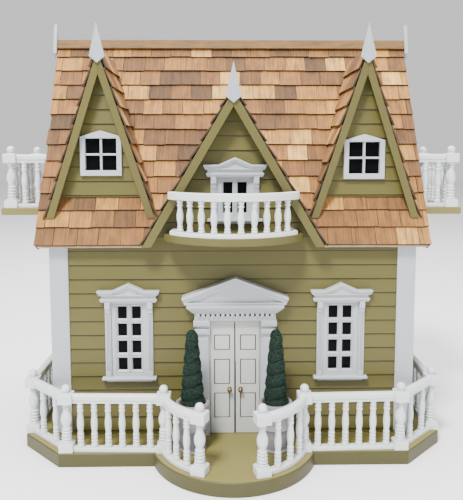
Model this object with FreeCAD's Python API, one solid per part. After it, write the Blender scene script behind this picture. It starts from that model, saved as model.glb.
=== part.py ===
import FreeCAD, Part
import math
import os

# A wooden dollhouse in one-twelfth scale with an open back.
# While building, X runs to the right, Y runs back from the face of the front corner boards and
# Z runs up from the underside of the base. save() then moves every shape so that the origin is
# the middle of the base's underside, halfway between the porch front and the base's rear edge.

# ---- house shell, millimetres ----
house_half_width = 275.0      # middle of the front to the face of a side corner board
house_depth = 317.6           # front corner boards to the rear edge of the gable walls
trim_t = 5.0                  # corner boards stand this far off the wall panels
wall_t = 8.0                  # wall, floor and partition panels
corner_board_w = 27.8
corner_board_gap = 4.4        # corner boards stop this far above the deck
front_shift = 2.5             # door and front windows stand this far right of the middle

# ---- base and porch ----
base_t = 20.1
base_front_y = -58.7
base_half_width = 319.5
base_chamfer = 66.0
bulge_y = -19.8               # centre of the round step in front of the door
bulge_r = 122.0
base_rear_y = 331.8

# ---- lap siding ----
lap_pitch = 21.4
lap_first_z = 26.5
lap_butt = 3.8                # thickness at the lower edge of a board
lap_top = 1.6                 # thickness where the next board covers it

# ---- main roof ----
eave_y = -15.0
eave_z = 316.7                # outer face of the shingles at the eave
ridge_z = 637.0               # where the two shingle faces would meet
roof_half_length = 292.0
shingle_t = 5.0
shingle_tail = 2.2
shingle_courses = 13
roof_panel_t = 6.0
rake_board_w = 12.0
rake_board_t = 3.0
ridge_cap_w = 12.0
ridge_cap_t = 2.7
rear_cutout_half = 232.0      # the rear slope is open between the two side strips
rear_cutout_z = 560.0         # and below this height

# ---- side dormers: triangular fronts standing on the roof ----
dormer_x = 198.0
dormer_front_y = 5.0
dormer_apex_z = 601.0         # top faces of the roof boards at the rakes
dormer_slope = 3.05
dormer_low_z = 352.0
dormer_face_y = 21.0
dormer_lap_z = 387.2
dormer_rake_w = 10.8
dormer_panel_t = 5.0
dormer_shingle_t = 5.5
dormer_window_z = {-1: 417.5, 1: 412.0}

# ---- centre gable over the front balcony ----
gable_front_y = -22.0
gable_apex_z = 541.4
gable_slope = 1.69
gable_low_z = 314.0
gable_rake_w = 12.0

# ---- kite finials ----
kite_h = 59.0
kite_w = 23.0
kite_t = 3.5
side_kite_t = 6.0
kite_shoulder = 0.16          # widest point, as a share of the height above the lower tip
kite_overlap = 19.0           # lower tip hangs this far below the roof boards' apex

# ---- windows: panes in two columns ----
pane_w = 13.6
pane_h = 19.2
pane_pitch_x = 21.3
pane_pitch_z = 26.7
casing_half = 36.0
sash_half = 27.0
hood_half = 46.5
window_x = 160.2
window_z = 105.4
centre_window_z = 346.6
side_window_y = 155.0
side_window_z = (110.0, 374.0)
pane_t = 1.5

# ---- front door ----
door_top_z = 200.0
leaf_w = 36.9
leaf_t = 5.0
leaf_y = 3.0
leaf_gap = 2.7
hinge_gap = 0.5
meeting_strip_w = 2.2         # strip on the left leaf that covers most of the gap between the leaves
door_floor_gap = 1.0
door_stop_gap = 0.3           # closed leaves to the bead that stops them at the head
pin_r = 1.0
pin_clearance = 0.05
pin_reach = 4.0
knob_z = 91.0
knob_inset = 7.0

# ---- railings ----
bottom_rail_h = 6.0
porch_rail_z = 72.4           # underside of a top rail above its deck
rail_h = 13.0
rail_w = 11.0
newel_w = 20.5
newel_h = 99.0
baluster_r = 5.0
corner_newel = (243.4, -47.0)
chamfer_newel = (310.0, 18.0)
rear_newel = (310.0, 321.0)
porch_arc_r = 106.4
arc_outer_deg = 72.9
entrance_deg = {-1: 26.6, 1: 20.0}
entrance_turn = 0.75          # share of that angle by which the entrance newels are turned

# ---- front balcony ----
front_balcony_y = 40.0        # centre of its curved front
front_balcony_r = 110.0
front_balcony_edge = 7.0
front_balcony_half = 101.5
front_balcony_z = (323.0, 334.0)
front_balcony_rail_z = 51.0
front_balcony_rail_h = 11.0
front_balcony_deg = 55.0

# ---- side balconies ----
side_balcony_x = 355.0
side_balcony_y = (85.0, 225.0)
side_balcony_z = (353.0, 364.0)
side_balcony_lip = 15.0
side_balcony_margin = 11.0

# ---- inside ----
upper_floor_z = 330.0         # top of the upper floor
partition_t = 6.0
lower_partition_x = 70.0
upper_partition_x = -66.0
inner_door_w = 64.0
inner_door_h = 172.0
inner_door_y = 60.0
stair_w = 46.0
stair_steps = 14
stair_tread = 17.5
stair_foot_y = 292.0
stair_body = 13.0
stairwell_len = 135.0

# ---- planters ----
planter_x = 60.5
planter_y = -46.0
planter_rim_z = 92.0
topiary_r = 19.3
topiary_top_z = 200.0

wall_x = house_half_width - trim_t
wall_y = trim_t
rear_y = house_depth - trim_t
ridge_y = house_depth / 2.0
roof_tan = (ridge_z - eave_z) / (ridge_y - eave_y)
roof_angle = math.atan(roof_tan)
roof_length = (ridge_y - eave_y) / math.cos(roof_angle)
roof_build = shingle_t + roof_panel_t
deck_centre_y = (bulge_y - bulge_r + base_rear_y) / 2.0
big = 900.0
nodes = {}


# ---- general helpers ----

def vector(x, y, z):
    return FreeCAD.Vector(x, y, z)


def box(x0, x1, y0, y1, z0, z1):
    """Axis-aligned box between two corners."""
    return Part.makeBox(x1 - x0, y1 - y0, z1 - z0, vector(x0, y0, z0))


def prism(points, direction):
    """Closed outline through 3-D points, pushed along a direction."""
    outline = Part.makePolygon(list(points) + [points[0]])
    return Part.Face(outline).extrude(direction)


def across(points, x0, x1):
    """Outline of (y, z) points, pushed along X."""
    return prism([vector(x0, y, z) for y, z in points], vector(x1 - x0, 0, 0))


def along(points, y0, y1):
    """Outline of (x, z) points, pushed along Y."""
    return prism([vector(x, y0, z) for x, z in points], vector(0, y1 - y0, 0))


def upright(points, z0, z1):
    """Outline of (x, y) points, pushed along Z."""
    return prism([vector(x, y, z0) for x, y in points], vector(0, 0, z1 - z0))


def lathe(profile, x, y, z):
    """Turned solid from (radius, height) points, standing at x, y, z."""
    points = [vector(r, 0, h) for r, h in profile]
    points = [vector(0, 0, profile[0][1])] + points + [vector(0, 0, profile[-1][1])]
    face = Part.Face(Part.makePolygon(points + [points[0]]))
    turned = face.revolve(vector(0, 0, 0), vector(0, 0, 1), 360)
    turned.translate(vector(x, y, z))
    return turned


def fused(shapes):
    """One solid from touching or overlapping shapes."""
    whole = shapes[0]
    if len(shapes) > 1:
        whole = shapes[0].multiFuse(shapes[1:])
    return whole.removeSplitter()


def cut_all(shape, tools):
    for tool in tools:
        shape = shape.cut(tool)
    return shape


def mirrored_x(shape):
    return shape.mirror(vector(0, 0, 0), vector(1, 0, 0))


def mirrored_y(shape):
    """The same shape on the other side of the ridge."""
    return shape.mirror(vector(0, ridge_y, 0), vector(0, 1, 0))


def save(name, *shapes):
    """Add solids to a sub-part, moved so that the origin is under the middle of the base."""
    for shape in shapes:
        moved = shape.copy()
        moved.translate(vector(0, -deck_centre_y, 0))
        nodes.setdefault(name, []).extend(moved.Solids)


def sawtooth(start, end, pitch, first, butt, tail):
    """(distance, thickness) points of overlapping boards from start to end."""
    points = []
    place = start
    next_butt = first
    while place < end:
        stop = min(next_butt, end)
        share = 1.0 - (next_butt - place) / pitch
        thick = butt + (tail - butt) * share
        share_end = 1.0 - (next_butt - stop) / pitch
        points.append((place, thick))
        points.append((stop, butt + (tail - butt) * share_end))
        place = stop
        next_butt += pitch
    return points


# ---- roof geometry ----

def roof_z(y, depth=0.0):
    """Height at y of the plane that lies depth below the front shingle faces."""
    return eave_z + (y - eave_y) * roof_tan - depth / math.cos(roof_angle)


def slope_point(run, depth):
    """(y, z) of a point on the front slope, run up from the eave and depth below its face."""
    y = eave_y + run * math.cos(roof_angle) + depth * math.sin(roof_angle)
    z = eave_z + run * math.sin(roof_angle) - depth * math.cos(roof_angle)
    return (y, z)


def slope_layer(depth0, depth1, x0, x1, run0=0.0):
    """Flat layer on the front slope from run0 to the ridge's plumb plane."""
    end = roof_length + 4.0 * roof_build
    corners = [(run0, depth0), (end, depth0), (end, depth1), (run0, depth1)]
    layer = across([slope_point(run, depth) for run, depth in corners], x0, x1)
    return layer.common(box(-big, big, -big, ridge_y, 0, big))


def under_front_slope():
    """Everything under the front shingle faces, behind the eave line."""
    end = ridge_y + 40.0
    corners = [(eave_y, 0), (eave_y, eave_z), (end, roof_z(end)), (end, 0)]
    return across(corners, -big, big)


def under_panels():
    """Room under both roof panels, where the walls may stand."""
    low = roof_z(-60.0, roof_build)
    top = roof_z(ridge_y, roof_build)
    rear = 2.0 * ridge_y + 60.0
    return across([(-60.0, 0), (-60.0, low), (ridge_y, top), (rear, low), (rear, 0)], -big, big)


def gable_half(apex, slope, z, depth):
    """Half width at height z of a gable line that lies depth below the boards' faces."""
    drop = depth * math.hypot(1.0, slope)
    return (apex - drop - z) / slope


def gable_layer(x, apex, slope, low, depth0, depth1, y0, y1, side):
    """One sloping board of a cross gable, cut plumb at the apex and level at the foot."""
    top0 = apex - depth0 * math.hypot(1.0, slope)
    top1 = apex - depth1 * math.hypot(1.0, slope)
    foot0 = gable_half(apex, slope, low, depth0)
    foot1 = gable_half(apex, slope, low, depth1)
    corners = [(x, top0), (x + side * foot0, low), (x + side * foot1, low), (x, top1)]
    return along(corners, y0, y1)


def gable_void(x, apex, slope, low, depth, y0, y1):
    """Triangular room under the boards of a cross gable."""
    half = gable_half(apex, slope, low, depth)
    top = apex - depth * math.hypot(1.0, slope)
    return along([(x - half, low), (x + half, low), (x, top)], y0, y1)


def centre_void(y0, y1):
    return gable_void(0.0, gable_apex_z, gable_slope, 300.0, roof_panel_t, y0, y1)


# ---- base ----

def base_deck():
    edge = base_half_width - base_chamfer
    corners = [(-edge, base_front_y), (edge, base_front_y),
               (base_half_width, base_front_y + base_chamfer), (base_half_width, base_rear_y),
               (-base_half_width, base_rear_y), (-base_half_width, base_front_y + base_chamfer)]
    deck = fused([upright(corners, 0, base_t),
                  Part.makeCylinder(bulge_r, base_t, vector(0, bulge_y, 0))])
    holes = [pin_hole(side, base_t - pin_reach - 1.0) for side in (-1, 1)]
    save("base_deck", cut_all(deck, holes))


# ---- walls and floors ----

def window_hole(x, z, rows, y0, y1):
    """Opening behind a window's sash."""
    sill = z + 7.8
    return box(x - sash_half, x + sash_half, y0, y1, sill, sill + body_height(rows))


def body_height(rows):
    return rows * pane_pitch_z + 8.5


def front_holes():
    """Openings through the front wall panel."""
    door = box(front_shift - door_half() - 4.0, front_shift + door_half() + 4.0,
               -big, 60.0, base_t, door_top_z + 4.6)
    windows = [window_hole(front_shift + side * window_x, window_z, 4, -60.0, 60.0)
               for side in (-1, 1)]
    centre = window_hole(front_shift, centre_window_z, 2, -60.0, 60.0)
    return [door, centre] + windows


def front_wall():
    inner = wall_x - wall_t
    plain = box(-inner, inner, wall_y, wall_y + wall_t, base_t, 400.0).common(under_panels())
    wall = fused([plain, centre_void(wall_y, wall_y + wall_t)])
    save("front_wall", cut_all(wall, front_holes()))


def side_turn(shape, side):
    """Turn a shape made against the front wall so that it stands on a side wall."""
    turned = shape.copy()
    turned.rotate(vector(0, 0, 0), vector(0, 0, 1), side * 90.0)
    turned.translate(vector(side * house_half_width, side_window_y, 0))
    return turned


def gable_wall(side):
    inner = wall_x - wall_t
    panel = box(inner, wall_x, wall_y, rear_y, base_t, big).common(under_panels())
    if side < 0:
        panel = mirrored_x(panel)
    holes = [side_turn(window_hole(0, z, 4, -60.0, 60.0), side) for z in side_window_z]
    save(side_name(side) + "_gable_wall", cut_all(panel, holes))


def side_name(side):
    return "left" if side < 0 else "right"


def upper_floor():
    inner = wall_x - wall_t
    floor = box(-inner, inner, wall_y + wall_t, rear_y, upper_floor_z - wall_t, upper_floor_z)
    stair_x = lower_partition_x + partition_t
    top_y = stair_foot_y - stair_steps * stair_tread
    well = box(stair_x, stair_x + stair_w + 2.0, top_y, top_y + stairwell_len,
               upper_floor_z - wall_t - 1.0, upper_floor_z + 1.0)
    save("upper_floor", floor.cut(well))


def partition_walls():
    back = wall_y + wall_t
    lower = box(lower_partition_x, lower_partition_x + partition_t, back, rear_y,
                base_t, upper_floor_z - wall_t)
    doorway = box(lower_partition_x - 1.0, lower_partition_x + partition_t + 1.0,
                  inner_door_y, inner_door_y + inner_door_w, base_t, base_t + inner_door_h)
    upper = box(upper_partition_x, upper_partition_x + partition_t, back, 2.0 * ridge_y - back,
                upper_floor_z, big).common(under_panels())
    save("partition_walls", lower.cut(doorway), upper)


def staircase():
    """Straight flight climbing from the open back towards the front."""
    rise = (upper_floor_z - base_t) / stair_steps
    x0 = lower_partition_x + partition_t
    points = [(stair_foot_y, base_t)]
    for step in range(stair_steps):
        y = stair_foot_y - step * stair_tread
        z = base_t + (step + 1) * rise
        points.append((y, z))
        points.append((y - stair_tread, z))
    top_y = stair_foot_y - stair_steps * stair_tread
    slope = rise / stair_tread
    points.append((top_y, upper_floor_z - 2.0 * stair_body))
    points.append((stair_foot_y - 2.0 * stair_body / slope, base_t))
    save("staircase", across(points, x0, x0 + stair_w))


# ---- siding and corner boards ----

def lap_sheet(x0, x1, z0, z1, first, face_y):
    """Lap siding facing the front, on a wall whose face is at face_y."""
    teeth = sawtooth(z0, z1, lap_pitch, first, lap_butt, lap_top)
    outline = [(face_y, z0)] + [(face_y - t, z) for z, t in teeth] + [(face_y, z1)]
    return across(outline, x0, x1)


def window_footprint(x, z, rows, y1):
    """Space that a window's casing, hood and sill take out of the siding."""
    top = z + 7.8 + body_height(rows)
    return [box(x - casing_half, x + casing_half, -60.0, y1, z, top),
            box(x - hood_half + 3.9, x + hood_half - 3.9, -60.0, y1, top, top + 10.5),
            along(hood_outline(x, top + 10.5), -60.0, y1),
            box(x - hood_half + 5.5, x + hood_half - 5.5, -60.0, y1, z + 3.7, z + 7.8)]


def front_siding():
    edge = house_half_width - corner_board_w
    plain = lap_sheet(-edge, edge, base_t, 321.0, lap_first_z, wall_y)
    tall = lap_sheet(-edge, edge, 321.0, 527.0, lap_first_z + 14 * lap_pitch, wall_y)
    laps = fused([plain, tall.common(centre_void(-60.0, wall_y))])
    tools = front_holes() + door_footprint()
    for side in (-1, 1):
        tools += window_footprint(front_shift + side * window_x, window_z, 4, wall_y)
    tools += window_footprint(front_shift, centre_window_z, 2, wall_y)
    tools.append(box(-front_balcony_half, front_balcony_half, -60.0, wall_y,
                     front_balcony_z[0], front_balcony_z[1]))
    save("front_siding", cut_all(laps, tools))


def side_siding(side):
    """Lap siding on a gable wall, made facing the front and then turned."""
    front_edge = side_window_y - corner_board_w
    rear_edge = house_depth - corner_board_w - side_window_y
    low, high = (-front_edge, rear_edge) if side > 0 else (-rear_edge, front_edge)
    laps = lap_sheet(low, high, base_t, 615.0, lap_first_z, trim_t)
    for z in side_window_z:
        laps = cut_all(laps, window_footprint(0, z, 4, trim_t) + [window_hole(0, z, 4, -60, 60)])
    turned = side_turn(laps, side).common(under_panels())
    save(side_name(side) + "_siding", turned.cut(balcony_slab(side)))


def corner_boards():
    """L-shaped boards on the front corners and flat ones at the rear edges."""
    w, t = corner_board_w, trim_t
    x1, x0 = house_half_width, wall_x
    ell = [(x1 - w, 0), (x1, 0), (x1, w), (x0, w), (x0, t), (x1 - w, t)]
    front = upright(ell, base_t + corner_board_gap, 400.0)
    rear = box(x0, x1, house_depth - w, rear_y, base_t + corner_board_gap, 400.0)
    right = [front.common(under_panels()), rear.common(under_panels())]
    left = [mirrored_x(board) for board in right]
    save("corner_boards", *(left + right))


# ---- main roof ----

def shingle_sheet(x0, x1):
    """Stepped shingle courses of the front slope."""
    pitch = roof_length / shingle_courses
    teeth = sawtooth(0.0, roof_length + 2.0 * pitch, pitch, pitch, shingle_t, shingle_tail)
    run_end = teeth[-1][0]
    outline = [(0.0, shingle_t)] + [(run, shingle_t - t) for run, t in teeth] + [(run_end, shingle_t)]
    sheet = across([slope_point(run, depth) for run, depth in outline], x0, x1)
    return sheet.common(box(-big, big, -big, ridge_y, 0, big))


def rear_opening():
    """Space between the side strips of the rear slope."""
    half = rear_cutout_half
    return box(-half, half, ridge_y + 1.0, big, 0, rear_cutout_z)


def main_roof():
    half = roof_half_length
    panel_half = half - rake_board_t
    panel = slope_layer(shingle_t, roof_build, -panel_half, panel_half)
    shingles = shingle_sheet(-half - 1.0, half + 1.0)
    notch = centre_void(-100.0, wall_y + wall_t)
    save("front_roof_panel", panel.cut(notch))
    save("front_shingles", shingles.cut(notch))
    save("rear_roof_panel", mirrored_y(panel).cut(rear_opening()))
    save("rear_shingles", mirrored_y(shingles).cut(rear_opening()))


def ridge_cap():
    half = roof_half_length + 2.0
    front = slope_layer(-ridge_cap_t, 0.0, -half, half, roof_length - ridge_cap_w)
    save("ridge_board", front, mirrored_y(front))


def side_rakes():
    """Boards under the shingles along both ends of the roof."""
    boards = []
    for side in (-1, 1):
        x0, x1 = sorted((side * (roof_half_length - rake_board_t), side * roof_half_length))
        front = slope_layer(shingle_t, shingle_t + rake_board_w, x0, x1)
        boards += [front, mirrored_y(front)]
    save("side_rake_boards", *boards)


# ---- cross gables ----

def cross_gable(name, x, front_y, apex, slope, low, panel_t, rake_w, below):
    """Roof boards, shingles and rake boards of one cross gable, standing on the space below."""
    back = ridge_y
    boards, shingles, rakes = [], [], []
    for side in (-1, 1):
        args = (x, apex, slope, low)
        boards.append(gable_layer(*args, 0.0, panel_t, front_y + rake_board_t, back, side))
        shingles.append(gable_layer(*args, -dormer_shingle_t, 0.0, front_y, back, side))
        rakes.append(gable_layer(*args, 0.0, rake_w, front_y, front_y + rake_board_t, side))
    save(name + "_roof", *[board.cut(below) for board in boards])
    save(name + "_shingles", *[sheet.cut(below) for sheet in shingles])
    save("gable_rake_boards", *[rake.cut(below) for rake in rakes])


def dormer_outline(x, z):
    """Outline of a dormer window with its shallow peaked head."""
    return [(x - 31.0, z), (x + 31.0, z), (x + 31.0, z + 58.5), (x, z + 67.5), (x - 31.0, z + 58.5)]


def dormer_panes(x, z):
    """The four openings of a dormer window."""
    panes = []
    for column in (-1, 1):
        for row in (0, 1):
            x0 = x + 12.5 * column - 10.75
            z0 = z + 8.4 + 24.8 * row
            panes.append(box(x0, x0 + 21.5, -60.0, 60.0, z0, z0 + 22.3))
    return panes


def dormer(side):
    name = side_name(side)
    x = side * dormer_x
    neighbour = gable_void(0.0, gable_apex_z, gable_slope, gable_low_z, -dormer_shingle_t, -big, big)
    cross_gable(name + "_dormer", x, dormer_front_y, dormer_apex_z, dormer_slope, dormer_low_z,
                dormer_panel_t, dormer_rake_w, under_front_slope().fuse(neighbour))
    z = dormer_window_z[side]
    laps = lap_sheet(x - 90.0, x + 90.0, dormer_low_z, dormer_apex_z, dormer_lap_z, dormer_face_y + 3.0)
    room = gable_void(x, dormer_apex_z, dormer_slope, dormer_low_z, dormer_panel_t, 0.0, 60.0)
    siding = laps.common(room).cut(under_front_slope())
    outline = along(dormer_outline(x, z), dormer_face_y - 5.0, dormer_face_y + 3.0)
    save(name + "_dormer_siding", siding.cut(outline))
    frame = cut_all(outline, dormer_panes(x, z))
    save(name + "_dormer_window", frame)
    pane_y = dormer_face_y + 3.0
    return box(x - 25.0, x + 25.0, pane_y, pane_y + pane_t, z + 6.0, z + 57.0)


def centre_gable():
    cross_gable("centre_gable", 0.0, gable_front_y, gable_apex_z, gable_slope,
                gable_low_z, roof_panel_t, gable_rake_w, under_front_slope())


def kite_outline(low):
    half = kite_w / 2.0
    return [(0, low), (half, low + kite_shoulder * kite_h), (0, low + kite_h),
            (-half, low + kite_shoulder * kite_h)]


def finials():
    for x, y, apex in ((-dormer_x, dormer_front_y, dormer_apex_z),
                       (dormer_x, dormer_front_y, dormer_apex_z),
                       (0.0, gable_front_y, gable_apex_z)):
        outline = [(x + dx, z) for dx, z in kite_outline(apex - kite_overlap)]
        save("front_finials", along(outline, y - kite_t, y))
    apex = roof_z(ridge_y, shingle_t)
    outline = [(ridge_y + dy, z) for dy, z in kite_outline(apex - kite_overlap + 2.0)]
    half = roof_half_length + 2.0
    right = across(outline, half, half + side_kite_t)
    save("side_finials", mirrored_x(right), right)


# ---- windows ----

def hood_outline(x, z):
    """Window hood: flat ends rising to a low peak in the middle."""
    return [(x - hood_half, z), (x + hood_half, z), (x + hood_half, z + 7.5), (x + 24.5, z + 7.5),
            (x, z + 18.5), (x - 24.5, z + 7.5), (x - hood_half, z + 7.5)]


def window_frame(x, z, rows):
    """Casing, pilasters, brackets, sill and hood of one window, facing the front."""
    sill = z + 7.8
    top = sill + body_height(rows)
    casing = box(x - casing_half, x + casing_half, -1.0, wall_y, sill, top)
    pieces = [casing.cut(window_hole(x, z, rows, -60.0, 60.0)),
              box(x - casing_half + 1.0, x + casing_half - 1.0, -3.0, wall_y, z, z + 3.7),
              box(x - casing_half - 5.0, x + casing_half + 5.0, -8.0, wall_y, z + 3.7, sill),
              box(x - hood_half + 3.9, x + hood_half - 3.9, -6.0, wall_y, top, top + 6.0),
              box(x - hood_half + 8.0, x + hood_half - 8.0, -3.5, wall_y, top + 6.0, top + 10.5),
              along(hood_outline(x, top + 10.5), -9.0, wall_y)]
    for side in (-1, 1):
        x0, x1 = sorted((x + side * (casing_half - 8.2), x + side * (casing_half - 0.5)))
        pieces.append(box(x0, x1, -3.0, -1.0, sill, top))
        pieces.append(box(x0, x1, -5.5, -1.0, top - 16.4, top))
    return fused(pieces)


def window_sash(x, z, rows):
    """Sash with its glazing bars, set into the wall's opening."""
    sill = z + 7.8
    top = sill + body_height(rows)
    sash = box(x - sash_half, x + sash_half, 2.0, 8.0, sill, top)
    tools = []
    for column in (-0.5, 0.5):
        for row in range(rows):
            xc = x + column * pane_pitch_x
            zc = sill + 4.25 + (row + 0.5) * pane_pitch_z
            tools.append(box(xc - pane_w / 2.0, xc + pane_w / 2.0, -60.0, 60.0,
                             zc - pane_h / 2.0, zc + pane_h / 2.0))
    return cut_all(sash, tools)


def window_pane(x, z, rows):
    sill = z + 7.8
    return box(x - sash_half, x + sash_half, 8.0, 8.0 + pane_t, sill, sill + body_height(rows))


def windows(dormer_pane_list):
    panes = list(dormer_pane_list)
    for name, x, z, rows in (("left_front_window", front_shift - window_x, window_z, 4),
                             ("right_front_window", front_shift + window_x, window_z, 4),
                             ("centre_window", front_shift, centre_window_z, 2)):
        save(name, window_frame(x, z, rows), window_sash(x, z, rows))
        panes.append(window_pane(x, z, rows))
    for side in (-1, 1):
        shapes = []
        for z in side_window_z:
            shapes += [window_frame(0, z, 4), window_sash(0, z, 4)]
            panes.append(side_turn(window_pane(0, z, 4), side))
        save(side_name(side) + "_side_windows", *[side_turn(shape, side) for shape in shapes])
    save("window_panes", *panes)


# ---- front door ----

def door_half():
    """Middle of the doorway to the face of a jamb."""
    return leaf_gap / 2.0 + leaf_w + hinge_gap


def hinge_x(side):
    return front_shift + side * (leaf_gap / 2.0 + leaf_w - leaf_t / 2.0)


def hinge_y():
    return leaf_y + leaf_t / 2.0


def pin_hole(side, z0):
    """Bearing hole for a leaf's pivot pin."""
    return Part.makeCylinder(pin_r + pin_clearance, pin_reach + 1.0, vector(hinge_x(side), hinge_y(), z0))


def door_footprint():
    """Space that the door surround takes out of the siding."""
    x, half = front_shift, door_half() + 24.0
    return [box(x - half, x + half, -60.0, wall_y, base_t, 212.5),
            box(x - 79.5, x + 79.5, -60.0, wall_y, 212.5, 238.0),
            along([(x - 79.5, 238.0), (x + 79.5, 238.0), (x, 267.0)], -60.0, wall_y)]


def door_surround():
    """Jambs, pilasters with two-step capitals, head, frieze and cornice."""
    x, half = front_shift, door_half()
    head_z = door_top_z + 0.6
    pieces = [box(x - half - 4.0, x + half + 4.0, 1.0, wall_y + wall_t, head_z, door_top_z + 4.6),
              box(x - half, x + half, 1.0, leaf_y - door_stop_gap, door_top_z - 3.0, head_z),
              box(x - half - 22.5, x + half + 22.5, -6.0, wall_y, head_z, 212.5),
              box(x - half - 28.5, x + half + 28.5, -12.0, wall_y, 212.5, 218.0),
              box(x - half - 34.0, x + half + 34.0, -15.0, wall_y, 218.0, 226.0)]
    for side in (-1, 1):
        for inner, outer, y0, z0, z1 in ((0.0, 4.0, 1.0, base_t, head_z),
                                         (0.2, 20.6, -5.0, base_t, head_z),
                                         (0.2, 22.2, -7.0, 177.4, 187.8),
                                         (0.2, 24.0, -8.5, 190.7, head_z)):
            x0, x1 = sorted((x + side * (half + inner), x + side * (half + outer)))
            y1 = wall_y + wall_t if inner == 0.0 else wall_y
            pieces.append(box(x0, x1, y0, y1, z0, z1))
    whole = fused(pieces)
    save("door_surround", cut_all(whole, [pin_hole(side, head_z - 1.0) for side in (-1, 1)]))


def dentils():
    """Row of small blocks under the door's cornice."""
    count = 16
    pitch = 7.4
    blocks = []
    for index in range(count):
        x = front_shift + (index - (count - 1) / 2.0) * pitch
        blocks.append(box(x - 2.2, x + 2.2, -9.0, -6.0, 206.6, 212.5))
    save("door_dentils", *blocks)


def pediment():
    """Triangular pediment with a sunk panel."""
    x = front_shift
    outline = [(x - 79.5, 226.0), (x + 79.5, 226.0), (x + 79.5, 238.0), (x, 267.0), (x - 79.5, 238.0)]
    panel = [(x - 55.0, 233.0), (x + 55.0, 233.0), (x, 253.5)]
    whole = along(outline, -15.0, wall_y).cut(along(panel, -16.0, -8.0))
    save("door_pediment", whole)


def door_leaf(side):
    """One leaf with its rounded hinge edge and three raised panels."""
    z0 = base_t + door_floor_gap
    hinge = hinge_x(side)
    free = front_shift + side * leaf_gap / 2.0
    x0, x1 = sorted((hinge, free))
    slab = fused([box(x0, x1, leaf_y, leaf_y + leaf_t, z0, door_top_z),
                  Part.makeCylinder(leaf_t / 2.0, door_top_z - z0, vector(hinge, hinge_y(), z0))])
    if side < 0:
        strip = box(free - 1.0, free + meeting_strip_w, leaf_y + 1.0, leaf_y + leaf_t - 0.5,
                    z0 + 0.5, door_top_z - 1.0)
        slab = fused([slab, strip])
    middle = front_shift + side * (leaf_gap + leaf_w) / 2.0
    for low, high in ((45.4, 85.1), (98.7, 138.4), (152.4, 176.4)):
        groove = box(middle - 12.2, middle + 12.2, leaf_y - 1.0, leaf_y + 1.2, low, high)
        field = box(middle - 9.6, middle + 9.6, leaf_y, leaf_y + 1.2, low + 2.6, high - 2.6)
        slab = slab.cut(groove.cut(field))
    sockets = [Part.makeCylinder(pin_r, pin_reach, vector(hinge, hinge_y(), z))
               for z in (z0, door_top_z - pin_reach)]
    name = side_name(side)
    save(name + "_door_leaf", cut_all(slab, sockets))
    save(name + "_door_pins", *door_pins(side, z0))
    save(name + "_door_knob", door_knob(side))


def door_pins(side, z0):
    """Pivot pins standing out of the top and bottom of a leaf."""
    hinge = hinge_x(side)
    low = vector(hinge, hinge_y(), z0 - door_floor_gap - pin_reach)
    bottom = Part.makeCylinder(pin_r, pin_reach + door_floor_gap + pin_reach, low)
    top = Part.makeCylinder(pin_r, pin_reach + pin_reach, vector(hinge, hinge_y(), door_top_z - pin_reach))
    return [bottom, top]


def door_knob(side):
    profile = [(3.6, 0.0), (3.6, 0.8), (1.5, 1.4), (1.5, 3.0), (2.9, 4.0), (3.8, 5.8),
               (3.1, 7.6), (1.4, 8.6)]
    knob = lathe(profile, 0, 0, 0)
    knob.rotate(vector(0, 0, 0), vector(1, 0, 0), 90.0)
    knob.translate(vector(front_shift + side * (leaf_gap / 2.0 + knob_inset), leaf_y, knob_z))
    return knob


# ---- railings ----

def baluster(x, y, z, height):
    """Turned baluster: foot, three rings, long vase and two rings under the rail."""
    shares = [(1.0, 0.0), (1.0, 0.07), (0.78, 0.10), (0.93, 0.15), (0.78, 0.19), (0.93, 0.23),
              (0.78, 0.27), (0.93, 0.31), (0.78, 0.345), (0.97, 0.45), (1.0, 0.53), (0.76, 0.76),
              (0.76, 0.78), (0.92, 0.825), (0.74, 0.87), (0.9, 0.92), (0.8, 0.96), (0.88, 1.0)]
    return lathe([(baluster_r * r, height * h) for r, h in shares], x, y, z)


def newel(x, y, z, turn=0.0):
    """Newel post: square plinth, turned shaft, square block and ball; turn is in degrees."""
    half = newel_w / 2.0
    plinth = box(x - half, x + half, y - half, y + half, z, z + 13.0)
    shaft = lathe([(6.0, 13.0), (7.0, 17.0), (5.6, 19.5), (7.2, 23.0), (5.6, 26.5), (7.2, 30.0),
                   (5.6, 33.5), (4.5, 37.0), (7.2, 44.0), (7.8, 49.0), (6.5, 56.0), (4.2, 64.0),
                   (4.0, 66.0), (6.2, 68.0), (6.2, 72.0)], x, y, z)
    block = box(x - half, x + half, y - half, y + half, z + 72.0, z + 86.5)
    ball = lathe([(6.0, 86.5), (6.0, 88.0), (4.0, 88.6), (6.2, 91.0), (6.6, 93.0), (5.4, 96.8),
                  (2.4, 98.8), (0.8, newel_h)], x, y, z)
    post = fused([plinth, shaft, block, ball])
    post.rotate(vector(x, y, z), vector(0, 0, 1), turn)
    return post


def rail_section(height):
    """(offset, height) outline of a moulded handrail."""
    half = rail_w / 2.0
    return [(-half + 1.5, 0), (half - 1.5, 0), (half - 1.5, height * 0.35), (half, height * 0.45),
            (half, height * 0.75), (half - 2.5, height), (-half + 2.5, height), (-half, height * 0.75),
            (-half, height * 0.45), (-half + 1.5, height * 0.35)]


def flat_section(height):
    half = rail_w / 2.0
    return [(-half, 0), (half, 0), (half, height), (-half, height)]


def straight_rail(start, end, z, section):
    """Rail from start to end, both (x, y)."""
    dx, dy = end[0] - start[0], end[1] - start[1]
    length = math.hypot(dx, dy)
    sideways = (-dy / length, dx / length)
    points = [vector(start[0] + o * sideways[0], start[1] + o * sideways[1], z + h) for o, h in section]
    return prism(points, vector(dx, dy, 0))


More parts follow.
